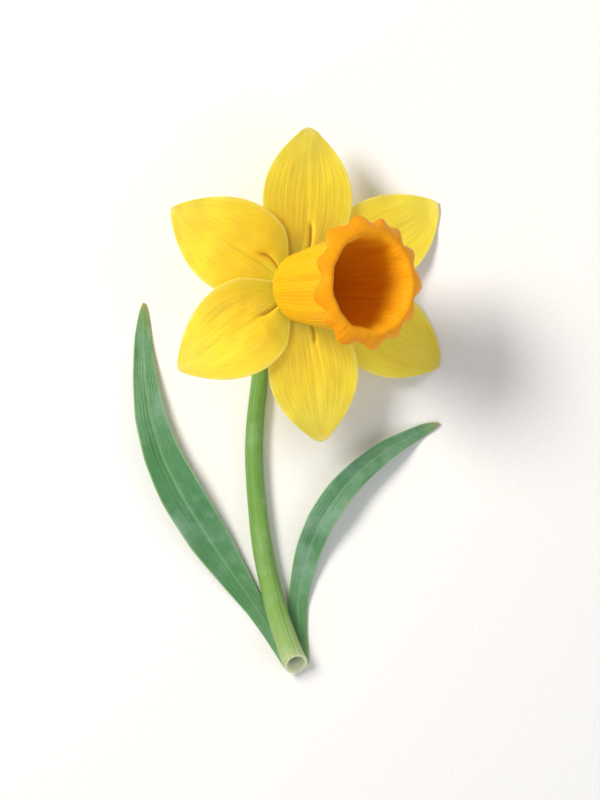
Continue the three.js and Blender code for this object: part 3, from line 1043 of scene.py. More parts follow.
@dataclass
class Tepals(SubAssembly):
    """The six tepals that spread behind the corona."""

    frame: FlowerFrame
    tube: FloralTube
    plans: tuple[TepalPlan, ...] = (
        TepalPlan(
            "tepal_top", 86.1, 51.6, 21,
            TepalSide(13.2, 0.55, Lies.UNDER), TepalSide(15.4, 0.54, Lies.OVER), (-0.29, -0.18, 0.27), 1.6,
        ),
        TepalPlan(
            "tepal_upper_left", 148, 47.4, 49,
            TepalSide(14.4, 0.5, Lies.UNDER), TepalSide(15.9, 0.47, Lies.OVER), (-0.31, -0.18, 0.19),
        ),
        TepalPlan(
            "tepal_lower_left", 214.4, 46.2, 46,
            TepalSide(15.3, 0.48, Lies.OVER), TepalSide(14.5, 0.46, Lies.OVER), (0.13, 0.03, 0.165),
        ),
        TepalPlan(
            "tepal_bottom", 278.7, 49.6, 22,
            TepalSide(15.2, 0.52, Lies.OVER), TepalSide(13.5, 0.54, Lies.UNDER), (0.25, 0.18, 0.22), 1.6,
        ),
        TepalPlan(
            "tepal_lower_right", 330.5, 52.0, -0.6,
            TepalSide(15.2, 0.58, Lies.UNDER), TepalSide(12.3, 0.57, Lies.UNDER), bend=0.7,
        ),
        TepalPlan(
            "tepal_upper_right", 31.4, 53.0, -0.6,
            TepalSide(13.3, 0.55, Lies.UNDER), TepalSide(14.4, 0.58, Lies.OVER),
        ),
    )
    sheet: Sheet = Sheet(120, 100, (0.07, 0.014), (0.1, 0.03), 0.9915)
    seeds: int = 3
    thickness: float = 0.62
    edge_share: float = 0.6
    rim: float = 0.3
    plane: float = -1.6
    start_radius: float = 10.0
    root_sunk: float = 0.4
    root_span: float = 42.0
    root_share: float = 0.2
    blend: float = 0.12
    blunt: float = 0.9
    blunt_from: float = 0.88
    round_from: float = 0.955
    roundness: float = 0.985
    overlap: float = 0.85
    overlap_fade: float = 0.6
    cup: float = 1.1
    wave: float = 0.8
    waves: float = 2.2
    crease: float = 0.7
    crease_width: float = 0.22
    crease_end: float = 0.62
    settle: float = 0.5
    lowest: float = 0.45
    rise_length: float = 40.0
    flatten: float = 0.0022
    fold_from: float = 0.05
    fold_depth: float = 0.75
    fold_width: float = 0.06
    fold_wall: float = 0.45
    full_width: float = 14.0
    swell: float = 1.15
    swell_span: float = 12.0
    small_swell: float = 0.3
    small_swell_span: float = 3.6
    calm_edge: float = 0.7
    crimp: float = 0.28
    crimps: float = 5.3
    keel: float = 0.25
    ridges: int = 14
    ridge_height: float = 0.045

    def spread_height(self, x: float, y: float) -> float:
        """Finds the height of the spread of tepals, which flattens out below and above the middle.

        Args:
            x: The place along X, as seen from above.
            y: The place along Y.

        Returns:
            The height over the floor.
        """
        frame, slope = self.frame, math.tan(self.frame.lean)
        down = (x - frame.centre.x) * math.cos(frame.turn) + (y - frame.centre.y) * math.sin(frame.turn)
        fall = slope * down - self.flatten * down**2
        if down < 0:
            fall = -slope * self.rise_length * (1 - math.exp(down / self.rise_length))
        return frame.centre.z + self.plane / math.cos(frame.lean) - fall

    def half_width(self, plan: TepalPlan, share: float, t: float, side: float) -> float:
        """Finds a blade's half width, with its blunt and rounded tip.

        Args:
            plan: The tepal.
            share: The share of the whole length, from the flower's middle to the tip.
            t: The share of the blade's own length.
            side: The place across, from -1 to 1.

        Returns:
            The half width on that side.
        """
        edge = plan.edge(side)
        opening = self.blunt * edge.widest / (1 - edge.widest)
        here, widest = [at**opening * (1 - at) ** self.blunt for at in (share, edge.widest)]
        beyond = max(0.0, (t - self.round_from) / (self.sheet.last_row - self.round_from))
        blunt = 1 + plan.blunt_tip * max(0.0, (t - self.blunt_from) / (1 - self.blunt_from)) ** 5
        return edge.width * here / widest * blunt * math.sqrt(1 - (self.roundness * beyond) ** 2)

    def relief(self, plan: TepalPlan, t: float, side: float, half: float) -> float:
        """The living unevenness of a tepal's blade.

        Args:
            plan: The tepal.
            t: The share of the length, from root to tip.
            side: The place across, from -1 to 1.
            half: The blade's half width there, in millimetres.

        Returns:
            Millimetres above the plain blade.
        """
        seed, offset = plan.azimuth, half * side
        narrow = min(1.0, half / self.full_width)
        clear = 1 - self.calm_edge * ease(abs(side), 0.4, 0.75) * (1 - ease(t, 0.5, 0.75))
        swells = self.swell * ripple(offset / self.swell_span, t * 2.6, seed)
        swells += self.small_swell * ripple(offset / self.small_swell_span, t * 6.5, seed + 9)
        crimp = self.crimp * side**4 * math.sin(TURN * (self.crimps * t + seed / 40))
        ridges = self.ridge_height * math.cos(math.pi * self.ridges * side) * (1 - side**2)
        keel = self.keel * bell(side, 0.06) * ease(t, 0.3, 0.6)
        uneven = clear * (swells + crimp * ease(t, 0.35, 0.6) * narrow) + (ridges - keel) * narrow**2
        return between(t, (0.06, 0.2), (0.94, 1.0)) * uneven

    def folded(self, plan: TepalPlan, t: float, side: float) -> float:
        """Finds how deep in the fold by the corona a place lies.

        Args:
            plan: The tepal.
            t: The share of the length.
            side: The place across, from -1 to 1.

        Returns:
            The depth, from 0 to 1.
        """
        foot, end, reach = plan.fold
        aside = mix(foot, end, (t - self.fold_from) / (reach - self.fold_from))
        shown = between(t, (0.0, self.fold_from), (reach - 0.06, reach + 0.04))
        return bell(side - aside, self.fold_width) * shown

    def surface(self, plan: TepalPlan, t: float, side: float) -> Vector:
        """The middle of a tepal's blade, in millimetres.

        Args:
            plan: The tepal.
            t: The share of the length, from the ring that it grows from to its tip.
            side: From -1 at the right edge to 1 at the left.

        Returns:
            The point.
        """
        frame = self.frame
        heading = math.radians(plan.azimuth)
        from_lean = heading - frame.turn
        azimuth = math.atan2(math.sin(from_lean), math.cos(from_lean) / math.cos(frame.lean))
        lift = self.overlap * mix(plan.right.lies.value, plan.left.lies.value, (side + 1) / 2)
        height = self.plane + lift
        root_radius = self.tube.radius_at(height) - self.root_sunk
        root = frame.point(height, root_radius, azimuth + side * math.radians(self.root_span))
        start = frame.point(self.plane, self.start_radius, azimuth) - frame.centre

        reach = mix(math.hypot(start.x, start.y), plan.length, t)
        half = self.half_width(plan, reach / plan.length, t, side)
        x, y = frame.from_above(heading, reach, half * side + plan.bend * ease(t, 0.7, 1.0))
        to_tip = plan.tip - self.spread_height(*frame.from_above(heading, plan.length, 0))
        crease = self.crease * bell(side, self.crease_width) * (1 - ease(t, 0.1, self.crease_end))
        cupped = self.cup * side**2 * math.sin(math.pi * t) if plan.edge(side).lies is Lies.OVER else 0.0
        wavy = self.wave * side * abs(side) * math.sin(TURN * self.waves * t + heading)
        free = self.spread_height(x, y) + to_tip * t**4 + lift * (1 - self.overlap_fade * t * t) + cupped
        free += wavy * ease(t, 0.45, 0.75) * (1 - t) + self.relief(plan, t, side, half) - crease
        z = soft_max(free, self.lowest, self.settle)
        point = root.lerp(Vector((x, y, z)), ease(t, 0, self.blend))
        point.z -= self.fold_depth * self.folded(plan, t, side)
        return point

    def wall_share(self, plan: TepalPlan, grain: Vector) -> float:
        """Finds how thick a blade is, as it thins out towards its edges and in its fold.

        Args:
            plan: The tepal.
            grain: A vertex's place across and along, and the tepal's seed.

        Returns:
            The share of the full thickness.
        """
        side, t, _ = grain
        half = self.half_width(plan, mix(self.root_share, 1.0, t), t, side)
        to_rim = min((1 - abs(side)) * half, (self.sheet.last_row - t) * plan.length)
        thin = mix(1.0, self.edge_share, side**2) * mix(1.0, self.fold_wall, self.folded(plan, t, side))
        return thin * rim_share(to_rim, self.rim)

    def build(self) -> None:
        """Builds the tepals and dresses them."""
        skin = TepalSkin().make()
        for number, plan in enumerate(self.plans):
            mesh = self.sheet.bent(partial(self.surface, plan), number / self.seeds)
            # the fold layer holds how deep each place lies in the fold, which the skin darkens as painted
            # shade
            fold = mesh.verts.layers.float.new("fold")
            grain = mesh.verts.layers.float_vector["grain"]
            for vert in mesh.verts:
                vert[fold] = self.folded(plan, vert[grain].y, vert[grain].x)
            thin_out(mesh, partial(self.wall_share, plan))
            add_piece(plan.node + "_blade", mesh, plan.node, Slot.TEPAL, [skin], self.thickness)


@dataclass
class Corona(SubAssembly):
    """The trumpet, whose lip rolls back and ends in lobes.

    Attributes:
        profile: Places along the flower's axis and radii, from the foot to the lip.
        ruffles: Azimuths in degrees and the radii that the lobes and notches show there.
    """

    frame: FlowerFrame
    profile: tuple[Pair, ...] = (
        (0.4, 8.9), (0.5, 9.9), (1.4, 10.6), (3.4, 11), (9, 12), (15, 13.3), (21, 14.2), (27, 14.5),
        (32, 14.5), (35.4, 14.6), (37.4, 15.2), (38.2, 16.4), (37.6, 18), (36.6, 19.2), (35.4, 20.1),
    )
    ruffles: tuple[Pair, ...] = (
        (-3.5, 22), (15.5, 19.7), (25, 21.6), (38.5, 19.2), (49, 21.4), (59.5, 20.3), (69, 21.4),
        (80.5, 19.3), (95, 21.6), (111, 19.8), (128, 22.1), (145.5, 19.1), (158, 20.9), (172, 18),
        (189, 21.9), (205, 18.9), (214, 20.8), (222, 19.8), (237.5, 21.9), (256, 18.8), (274, 20.9),
        (290, 18.7), (302.5, 20.5), (315, 18.8), (328.5, 21), (341, 19),
    )
    wall_in_frame: float = 0.2
    lobe_curl: float = 0.35
    ruffle_from: float = 0.7
    thickness: float = 0.62
    lip_share: float = 0.62
    foot_share: float = 0.4
    foot_end: float = 0.07
    rim: float = 0.0045
    sunk: float = 0.9
    flute: float = 0.2
    swell: float = 0.5
    pleats: int = 6
    pleat: float = 0.2
    crimp: float = 0.2
    fine_crimp: float = 0.12
    ribs: int = 66
    rib_height: float = 0.045
    rows: int = 90
    columns: int = 396
    crowd: Pair = (0.07, 0.012)

    def ruffle(self, azimuth: float) -> float:
        """Finds how far the edge stands out from the profile's end.

        A lobe's curl moves it too as it shows from above, so that is taken off its reach.

        Args:
            azimuth: The azimuth, in degrees.

        Returns:
            The distance in millimetres.
        """
        first = self.ruffles[0]
        turn = (azimuth - first[0]) % 360 + first[0]
        stops = [*self.ruffles, (first[0] + 360, first[1])]
        after = next(k for k, (place, _) in enumerate(stops) if place > turn)
        (start, radius), (end, next_radius) = stops[after - 1], stops[after]
        share = (1 - math.cos(math.pi * (turn - start) / (end - start))) / 2
        shown = mix(radius, next_radius, share) - self.wall_in_frame / 2 - self.profile[-1][1]
        return shown / (1 - self.lobe_curl * math.tan(self.frame.lean) * math.cos(math.radians(azimuth)))

    def share_at(self, row: float) -> float:
        """The share of the profile at a row, with more rows near the lip and most at its rim."""
        steps = crowded(row, *self.crowd)
        return mix(steps, 1 - (1 - steps) ** 1.6, 0.6)

    def surface(self, curve: SmoothRows, row: float, across: float) -> Vector:
        """The middle of the corona's wall, in millimetres.

        Args:
            curve: The profile.
            row: The place along the profile, from 0 to 1.
            across: The share of the way round.

        Returns:
            The point.
        """
        share, azimuth = self.share_at(row), TURN * across
        height, radius = curve.at(share)
        x, y = math.cos(azimuth), math.sin(azimuth)
        stand = self.ruffle(math.degrees(azimuth))
        frill = stand * ease(share, self.ruffle_from, 1) ** 1.2
        flute = self.flute * stand * between(share, (0.12, 0.5), (0.68, 0.8))
        swell = self.swell * ripple(x * 2.2, y * 2.2, share * 3) * between(share, (0.05, 0.3), (0.6, 0.74))
        pleat = self.pleat * math.cos(self.pleats * azimuth + 0.5) * between(share, (0.04, 0.3), (0.6, 0.72))
        rib = self.rib_height * math.cos(self.ribs * azimuth + 2.5 * ripple(x * 3, y * 3, 4.0))
        crimp = self.crimp * ripple(x * 11, y * 11, 2.0) + self.fine_crimp * ripple(x * 26, y * 26, 7.0)
        crimp *= ease(share, 0.86, 1.0)
        height += 0.6 * crimp - self.lobe_curl * frill - self.sunk * (1 - ease(share, 0.0, self.foot_end))
        radius += frill + flute + pleat + swell + rib * ease(share, 0.03, 0.2) + 0.4 * crimp
        return self.frame.point(height, radius, azimuth)

    def wall_share(self, grain: Vector) -> float:
        """The share of the full thickness, which is less at the foot and the lip."""
        lip = mix(1.0, self.lip_share, ease(grain.z, 0.6, 1.0)) * rim_share(1 - grain.z, self.rim)
        return lip * mix(self.foot_share, 1.0, ease(grain.z, 0.0, self.foot_end))

    def build(self) -> None:
        """Builds the corona and dresses it."""
        mesh = bent_grid(
            self.rows,
            self.columns,
            partial(self.surface, SmoothRows(self.profile)),
            lambda row, across: round_grain(TURN * across, self.share_at(row)),
            closed=True,
        )
        thin_out(mesh, self.wall_share)
        add_piece("corona_trumpet", mesh, "corona", Slot.CORONA, [CoronaSkin().make()], self.thickness)


@dataclass
class Stamens(SubAssembly):
    """Six stamens that rise from the floral tube round the style."""

    frame: FlowerFrame
    count: int = 6
    filament_radius: float = 0.5
    root_radius: float = 4.95
    root_height: float = -7.2
    stand_radius: float = 3.1
    stand_height: float = 1.5
    bend_at: float = 0.4
    bend_out: float = 1.08
    anther_height: float = 6.0
    anther_length: float = 9.0
    anther_width: float = 2.1
    anther_depth: float = 1.5
    anther_taper: float = 0.22
    anther_bow: float = 0.25
    anther_rows: int = 36
    anther_sides: int = 40
    split: float = 0.42
    dust: float = 0.16
    rows: int = 36
    sides: int = 14

    def thread_point(self, route: SmoothRows, azimuth: float, along: float, across: float) -> Vector:
        """A point of a filament's skin, in millimetres.

        Args:
            route: The filament's place along the axis and its distance from it.
            azimuth: Its place round the axis.
            along: The share of its length.
            across: The share of the way round it.

        Returns:
            The point.
        """
        height, radius = route.at(along)
        thick = self.filament_radius * (0.8 + 0.35 * bell(along - 0.3, 0.3))
        outwards = self.frame.outwards(azimuth)
        sideways = self.frame.axis.cross(outwards)
        around = outwards * math.cos(TURN * across) + sideways * math.sin(TURN * across)
        return self.frame.point(height, radius, azimuth) + around * thick

    def add_anther(self, mesh: Mesh, number: int, azimuth: float) -> None:
        """Adds an anther to a filament's mesh: two sacs side by side, split and dusted with pollen.

        Args:
            mesh: The filament's mesh.
            number: Which stamen it is.
            azimuth: Its place round the axis.
        """
        sideways = self.frame.axis.cross(self.frame.outwards(azimuth))
        sides, rows = self.anther_sides, self.anther_rows
        made = bmesh.ops.create_uvsphere(mesh, u_segments=sides, v_segments=rows, radius=1.0)["verts"]
        layer = mesh.verts.layers.float_vector["grain"]
        for vert in made:
            aside, depth, along = vert.co
            taper = 1 - self.anther_taper * along**2
            split = 1 - self.split * bell(aside, 0.2) * (1 - along**4)
            dust = 1 + self.dust * ripple(aside * 4, depth * 4, along * 9 + number)
            out = depth * self.anther_depth / 2 * taper * split * dust + self.anther_bow * along**2
            height = self.anther_height + along * self.anther_length / 2
            point = self.frame.point(height, self.stand_radius + out, azimuth)
            vert[layer] = (aside, along, depth)
            vert.co = (point + sideways * (aside * self.anther_width / 2 * taper * dust)) * MM
        for face in {face for vert in made for face in vert.link_faces}:
            face.material_index = 1

    def build(self) -> None:
        """Builds the stamens and dresses them."""
        finishes = [Filament().make(), Pollen().make()]
        stops = (
            (self.root_height, self.root_radius),
            (mix(self.root_height, self.stand_height, self.bend_at), self.stand_radius * self.bend_out),
            (self.stand_height, self.stand_radius),
            (self.anther_height, self.stand_radius),
        )
        for number in range(self.count):
            azimuth = TURN * number / self.count
            point = partial(self.thread_point, SmoothRows(stops), azimuth)
            mesh = bent_grid(self.rows, self.sides, point, lambda along, across: (across, along, 0.0), True)
            close_ends(mesh)
            self.add_anther(mesh, number, azimuth)
            add_piece(f"stamen_{number + 1}", mesh, "floral_tube", Slot.FLORAL_TUBE, finishes)


@dataclass
class Pistil(SubAssembly):
    """Three-lobed ovary below the floral tube, with its style and stigma."""

    frame: FlowerFrame
    ovary: tuple[Pair, ...] = (
        (-26, 0.0), (-26.05, 1.2), (-25.9, 2), (-25.2, 2.75), (-23, 3.7), (-20.4, 4), (-18, 3.6),
        (-16.2, 3), (-15.85, 2.4), (-15.75, 0.85),
    )
    style: tuple[Pair, ...] = (
        (-15.75, 0.85), (-12, 0.75), (0, 0.7), (9, 0.64), (11.6, 0.68), (12.5, 1.1), (13.3, 1.5),
        (13.9, 1.25), (14.1, 0.5), (13.95, 0.0),
    )
    lobes: int = 3
    ovary_top: float = -16.0
    ovary_lobing: float = 0.07
    stigma_from: float = 11.6
    stigma_lobing: float = 0.26
    softness: float = 1.2
    ovary_steps: int = 36
    style_steps: int = 44
    steps: int = 72

    def swell(self, along: float, azimuth: float) -> float:
        """Finds what the radius is multiplied by, so that ovary and stigma have lobes.

        Args:
            along: The place along the flower's axis.
            azimuth: The azimuth in radians.

        Returns:
            The factor.
        """
        lobes = math.cos(self.lobes * azimuth)
        on_ovary = 1 - ease(along, self.ovary_top - self.softness, self.ovary_top)
        on_stigma = ease(along, self.stigma_from, self.stigma_from + self.softness)
        swell = self.ovary_lobing * (lobes + 0.35 * math.cos(2 * self.lobes * azimuth)) * on_ovary
        return 1 + swell + self.stigma_lobing * lobes * on_stigma

    def build(self) -> None:
        """Builds the pistil and dresses it."""
        style = smooth_profile(self.style, self.style_steps)
        profile = smooth_profile(self.ovary, self.ovary_steps) + style[1:]
        profile[0][1] = profile[-1][1] = 0.0
        ends = (self.ovary[0][0], self.style[-1][0])
        mesh = turned(profile, self.frame, self.steps, ends, self.swell)
        add_piece("pistil_whole", mesh, "pistil", Slot.PISTIL, [PistilSkin().make()])


# Sub-assemblies below the flower


@dataclass(frozen=True)
class StemPlace:
    """One place along the stem: its middle, its directions and its radius, in millimetres."""

    centre: Vector
    ahead: Vector
    top: Vector
    side: Vector
    radius: float
    distance: float


@dataclass
class Stem(SubAssembly):
    """The stem with its bent neck, cut aslant at the foot.

    Attributes:
        stations: X, Y, the radius, and how far the stem lies over the floor.
        cut_steps: How far each step of the cut goes inwards, and how deep.
    """

    frame: FlowerFrame
    stations: tuple[tuple[float, float, float, float], ...] = (
        (3, -84.5, 3.8, 1.4), (1.5, -81.5, 3.8, 1.4), (-0.9, -74.9, 3.7, 1.2), (-2.8, -69, 3.6, 0.95),
        (-4.5, -62.5, 3.5, 0.35), (-6, -56.2, 3.4, -0.1), (-8.3, -43.4, 3.25, -0.1), (-9.8, -30.6, 3.1, -0.1),
        (-10.5, -17.8, 2.95, -0.1), (-9.9, -5, 2.8, -0.1), (-8.8, 4.6, 2.7, -0.1), (-8.5, 10.5, 2.65, 0.3),
        (-9.3, 16.2, 2.7, 0.9), (-11.4, 21.6, 2.3, 1.6), (-13.9, 27.2, 2, 2.6), (-15.3, 31.6, 1.9, 4.6),
    )
    end_radius: float = 2.0
    end_along: Pair = (-29.3, -25.7)
    flat_to_corner: float = math.cos(math.pi / 12)
    cut_slant: float = 0.75
    cut_reach: float = 4.1
    cut_calm: float = 3.0
    cut_steps: tuple[Pair, ...] = (
        (0.12, -0.05), (0.3, -0.06), (0.35, 0.04), (0.2, 0.25), (0.1, 1.4), (0.12, 3.2),
    )
    unevenness: float = 0.22
    shoulder: float = 0.03
    stripes: int = 18
    stripe_height: float = 0.05
    fine_steps: int = 1500
    soft_steps: int = 20
    soft_rounds: int = 2
    steps_ahead: int = 3
    steps_back: int = 2
    rows: int = 300
    sides: int = 72

    def softened(self, points: Sequence[Vector]) -> list[Vector]:
        """Moves each point of a path to the middle of its neighbours, so that no bend is too sharp.

        Args:
            points: The path.

        Returns:
            The softer path.
        """
        eased = []
        for k in range(len(points)):
            near = min(self.soft_steps, k, len(points) - 1 - k)
            eased.append(sum(points[k - near : k + near + 1], Vector()) / (2 * near + 1))
        return eased

    def places(self) -> list[StemPlace]:
        """Follows the stem from the cut to the ovary.

        Returns:
            Its places, evenly spaced.
        """
        rows = [(x, y, radius * self.flat_to_corner + under, radius) for x, y, radius, under in self.stations]
        rows += [(*self.frame.point(along, 0, 0), self.end_radius) for along in self.end_along]
        path = SmoothRows([row[:3] for row in rows], as_points=True)
        radii = SmoothRows([row[3:] for row in rows])
        fine = self.fine_steps
        points = [Vector(path.at(k / fine)) for k in range(fine + 1)]
        for _ in range(self.soft_rounds):
            points = self.softened(points)
        lengths = [0.0]
        for before, after in zip(points, points[1:]):
            lengths.append(lengths[-1] + (after - before).length)
        found, index = [], 0
        side = Vector((1, 0, 0))
        for row in range(self.rows + 1):
            distance = lengths[-1] * row / self.rows
            while index < fine - 1 and lengths[index + 1] < distance:
                index += 1
            part = (distance - lengths[index]) / (lengths[index + 1] - lengths[index])
            centre = points[index].lerp(points[index + 1], part)
            there, back = points[min(fine, index + self.steps_ahead)], points[max(0, index - self.steps_back)]
            ahead = (there - back).normalized()
            side = (side - ahead * side.dot(ahead)).normalized()
            radius = radii.at((index + part) / fine)[0]
            found.append(StemPlace(centre, ahead, side.cross(ahead), side, radius, distance))
        return found

    def surface(self, places: Sequence[StemPlace], along: float, across: float) -> Vector:
        """A point of the stem's skin, in millimetres.

        Args:
            places: The stem's places.
            along: The share of its length.
            across: The share of the way round it, from the top.

        Returns:
            The point.
        """
        here = places[round(along * self.rows)]
        turn = TURN * across
        up, aside = Vector((math.cos(turn), math.sin(turn)))
        uneven = self.unevenness * ripple(up * 1.5, aside * 1.5, here.distance / 14)
        stripe = self.stripe_height * math.cos(self.stripes * turn + 0.8 * math.sin(here.distance / 23))
        calm = ease(here.distance, 0, self.cut_calm)
        radius = here.radius * (1 + self.shoulder * math.cos(2 * turn) * calm) + (uneven + stripe) * calm
        slant = self.cut_slant * here.radius * up * max(0.0, 1 - here.distance / self.cut_reach)
        point = here.centre + here.ahead * slant + here.top * (radius * up) + here.side * (radius * aside)
        point.z = max(0.0, point.z)
        return point

    def open_foot(self, mesh: Mesh, foot: bmesh.types.BMFace, ahead: Vector) -> None:
        """Gives the cut its rim of flesh round the hollow of the stem.

        Args:
            mesh: The stem's mesh.
            foot: The face that closes its foot.
            ahead: The stem's direction there, which the hollow follows.
        """
        bmesh.ops.recalc_face_normals(mesh, faces=mesh.faces)
        foot.material_index = 1
        for inwards, depth in self.cut_steps:
            step = inwards * MM
            ring = bmesh.ops.inset_individual(mesh, faces=[foot], thickness=step, use_even_offset=True)
            for face in ring["faces"]:
                face.material_index = 1
            bmesh.ops.translate(mesh, verts=foot.verts, vec=ahead * (depth * MM))
        # marks the bottom of the recess, which the cut's finish darkens as painted shade
        hollow_shade = mesh.verts.layers.float.new("hollow_shade")
        for vert in foot.verts:
            vert[hollow_shade] = 1.0

    def build(self) -> None:
        """Builds the stem and dresses it."""
        places = self.places()
        mesh = bent_grid(
            self.rows,
            self.sides,
            partial(self.surface, places),
            lambda along, across: round_grain(TURN * across, along),
            closed=True,
        )
        foot = min(close_ends(mesh), key=lambda face: face.calc_center_median().y)
        self.open_foot(mesh, foot, places[0].ahead)
        add_piece("stem_stalk", mesh, "stem", Slot.STEM, [StemSkin().make(), CutFlesh().make()])


@dataclass
class Spathe(SubAssembly):
    """The papery sheath that the flower broke out of.

    Attributes:
        stations: X, Y, Z, the radius, and how far the sheath reaches to each side, in degrees.
    """

    stations: tuple[tuple[float, float, float, float, float], ...] = (
        (-9, 15, 3.7, 3.75, 155), (-10.1, 18.6, 3.9, 3.85, 150), (-12.1, 23.2, 4.3, 4.1, 112),
        (-15.4, 28.8, 4.6, 4.6, 84), (-18.1, 33.6, 4.3, 4.3, 74), (-20.3, 38.4, 3.6, 3.4, 66),
        (-21.9, 43, 2.8, 2.3, 58),
    )
    sheet: Sheet = Sheet(120, 72, (0.0, 0.0), (0.12, 0.03))
    seed: float = 0.3
    thickness: float = 0.4
    rim: float = 0.18
    half_girth: float = 6.0
    length: float = 32.0
    back: float = 205.0
    turn: float = 40.0
    taper: float = 0.6
    grip: float = 0.92
    lowest: float = 0.22
    settle: float = 0.1
    torn: float = 0.05
    covered: float = 0.945
    start: float = 0.025
    step: float = 0.01
    creases: int = 12
    crease: float = 0.07
    wrinkle: float = 0.08
    loose_wrinkle: float = 0.3

    def surface(self, curve: SmoothRows, along: float, side: float) -> Vector:
        """The middle of the sheath, with a torn edge and shallow wrinkles, in millimetres.

        Args:
            curve: The sheath's stations.
            along: The share of its length.
            side: The place across, from -1 to 1.

        Returns:
            The point.
        """
        torn = self.torn * ripple(along * 9, side * 0.6, 3.0) * ease(abs(side), 0.7, 1.0)
        near_ends = ease(along, 0.9, 1.0) + 0.6 * (1 - ease(along, 0.0, 0.08))
        share = along * self.covered + self.start + self.torn * ripple(side * 4, 0.0, 8.0) * near_ends
        x, y, z, radius, opening = curve.at(share)
        ahead = curve.ahead(share, self.step)
        angle = math.radians(self.back + side * (1 + torn) * opening + self.turn * ease(share, 0.1, 0.8))
        loose = ease(share, 0.18, 0.5) * (1 - 0.97 * ease(share, 0.65, 0.9))
        radius += (self.wrinkle + self.loose_wrinkle * loose) * ripple(side * 5, share * 8, 1.0)
        radius += self.crease * loose * math.cos(math.pi * self.creases * side)
        radius -= self.grip * (1 - ease(share, 0.0, 0.1))
        aside = radius * (1 - self.taper * ease(share, 0.82, 1)) * math.cos(angle)
        z = soft_max(z + radius * math.sin(angle), self.lowest, self.settle)
        return Vector((x + ahead.y * aside, y - ahead.x * aside, z))

    def wall_share(self, grain: Vector) -> float:
        """The share of the full thickness, which falls off at the rim."""
        to_rim = min((1 - abs(grain.x)) * self.half_girth, (1 - grain.y) * self.length)
        return rim_share(to_rim, self.rim)

    def build(self) -> None:
        """Builds the spathe and dresses it."""
        mesh = self.sheet.bent(partial(self.surface, SmoothRows(self.stations)), self.seed)
        thin_out(mesh, self.wall_share)
        add_piece("spathe_sheath", mesh, "spathe", Slot.SPATHE, [DrySheath().make()], self.thickness)


@dataclass
class Leaves(SubAssembly):
    """Two strap leaves that rise beside the stem.

    Attributes:
        leaves: The nodes that they stand for, and X, Y, Z and the half width along each.
    """

    leaves: tuple[tuple[str, Rows], ...] = (
        ("leaf_left", (
            (1, -84.8, 0.5, 2.2), (-0.9, -81.1, 0.5, 2.6), (-4.9, -74.7, 0.5, 2.7), (-9.4, -67.4, 0.6, 3.3),
            (-17.1, -56.2, 1.7, 4.9), (-25.6, -43.4, 3.6, 6.6), (-33.5, -30.6, 5.2, 6.8),
            (-39.8, -17.8, 5.3, 5.9), (-43.7, -5, 4, 4.9), (-45.4, 7.8, 2.2, 3.8), (-46, 20.6, 0.45, 2.6),
            (-45.8, 30.9, 0.9, 0.8),
        )),
        ("leaf_right", (
            (5.3, -84.6, 0.5, 1.9), (4.9, -80.2, 0.5, 2.1), (4.1, -74.4, 0.5, 2.4), (3.6, -66.1, 0.6, 3),
            (4.8, -56.8, 1.6, 3.5), (7.1, -47.7, 3.3, 4.1), (10.8, -38.9, 4.9, 4.35),
            (16.7, -29.9, 5.8, 4.35), (22.5, -23.7, 5.6, 4), (30.5, -17.1, 4.2, 3.4),
            (36.2, -13.6, 2.6, 2.8), (43.9, -9.6, 0.45, 1.9), (48.8, -7.6, 0.8, 0.7),
        )),
    )
    sheet: Sheet = Sheet(200, 56, (0.05, 0.006), (0.16, 0.06))
    first_seed: float = 2.0
    thickness: float = 0.85
    edge_share: float = 0.5
    rim: float = 0.28
    length: float = 155.0
    channel: float = 0.16
    swell: float = 0.8
    wave: float = 0.3
    groove: float = 0.16
    ridges: int = 9
    ridge_height: float = 0.06
    lowest: float = 0.44
    settle: float = 0.12
    tip_from: float = 0.965
    tip_roundness: float = 0.94
    full_width: float = 5.0
    step: float = 0.01

    def half_width(self, curve: SmoothRows, along: float) -> float:
        """Half the width of a leaf, with its rounded tip."""
        beyond = max(0.0, (along - self.tip_from) / (1 - self.tip_from))
        return curve.at(along)[3] * math.sqrt(1 - (self.tip_roundness * beyond) ** 2)

    def surface(self, curve: SmoothRows, number: int, along: float, side: float) -> Vector:
        """The middle of a leaf's blade, in millimetres.

        Args:
            curve: Its middle line and half width.
            number: Which leaf it is.
            along: The share from the foot to the tip.
            side: The place across, from -1 at its right edge to 1 at its left.

        Returns:
            The point.
        """
        x, y, z, half = curve.at(along)
        ahead = curve.ahead(along, self.step)
        reach = side * self.half_width(curve, along)
        narrow = min(1.0, self.half_width(curve, along) / self.full_width)
        free = ease(along, 0.15, 0.35) * narrow
        z += self.channel * half * side**2 * ease(along, 0.12, 0.4)
        z += free * self.swell * ripple(side * 0.9, along * 7, number * 5.0)
        z += free * self.wave * abs(side) ** 3 * math.sin(TURN * (4.5 * along + 0.3 * side + number))
        ridged = self.ridge_height * math.cos(math.pi * self.ridges * side) * (1 - side**4)
        z += (ridged * ease(along, 0.02, 0.1) - self.groove * bell(side, 0.1) * free) * narrow**2
        return Vector((x - ahead.y * reach, y + ahead.x * reach, soft_max(z, self.lowest, self.settle)))

    def wall_share(self, curve: SmoothRows, grain: Vector) -> float:
        """Finds how thick a blade is, as it thins out towards its edges.

        Args:
            curve: Its middle line and half width.
            grain: A vertex's place across and along, and the leaf's seed.

        Returns:
            The share of the full thickness.
        """
        side, along, _ = grain
        to_rim = min((1 - abs(side)) * self.half_width(curve, along), (1 - along) * self.length)
        return mix(1.0, self.edge_share, abs(side) ** 1.5) * rim_share(to_rim, self.rim)

    def build(self) -> None:
        """Builds the leaves and dresses them."""
        skin = LeafSkin().make()
        for number, (node, stations) in enumerate(self.leaves):
            curve = SmoothRows(stations)
            mesh = self.sheet.bent(partial(self.surface, curve, number), self.first_seed + number)
            thin_out(mesh, partial(self.wall_share, curve))
            add_piece(node + "_blade", mesh, node, Slot.LEAF, [skin], self.thickness)


# Studio


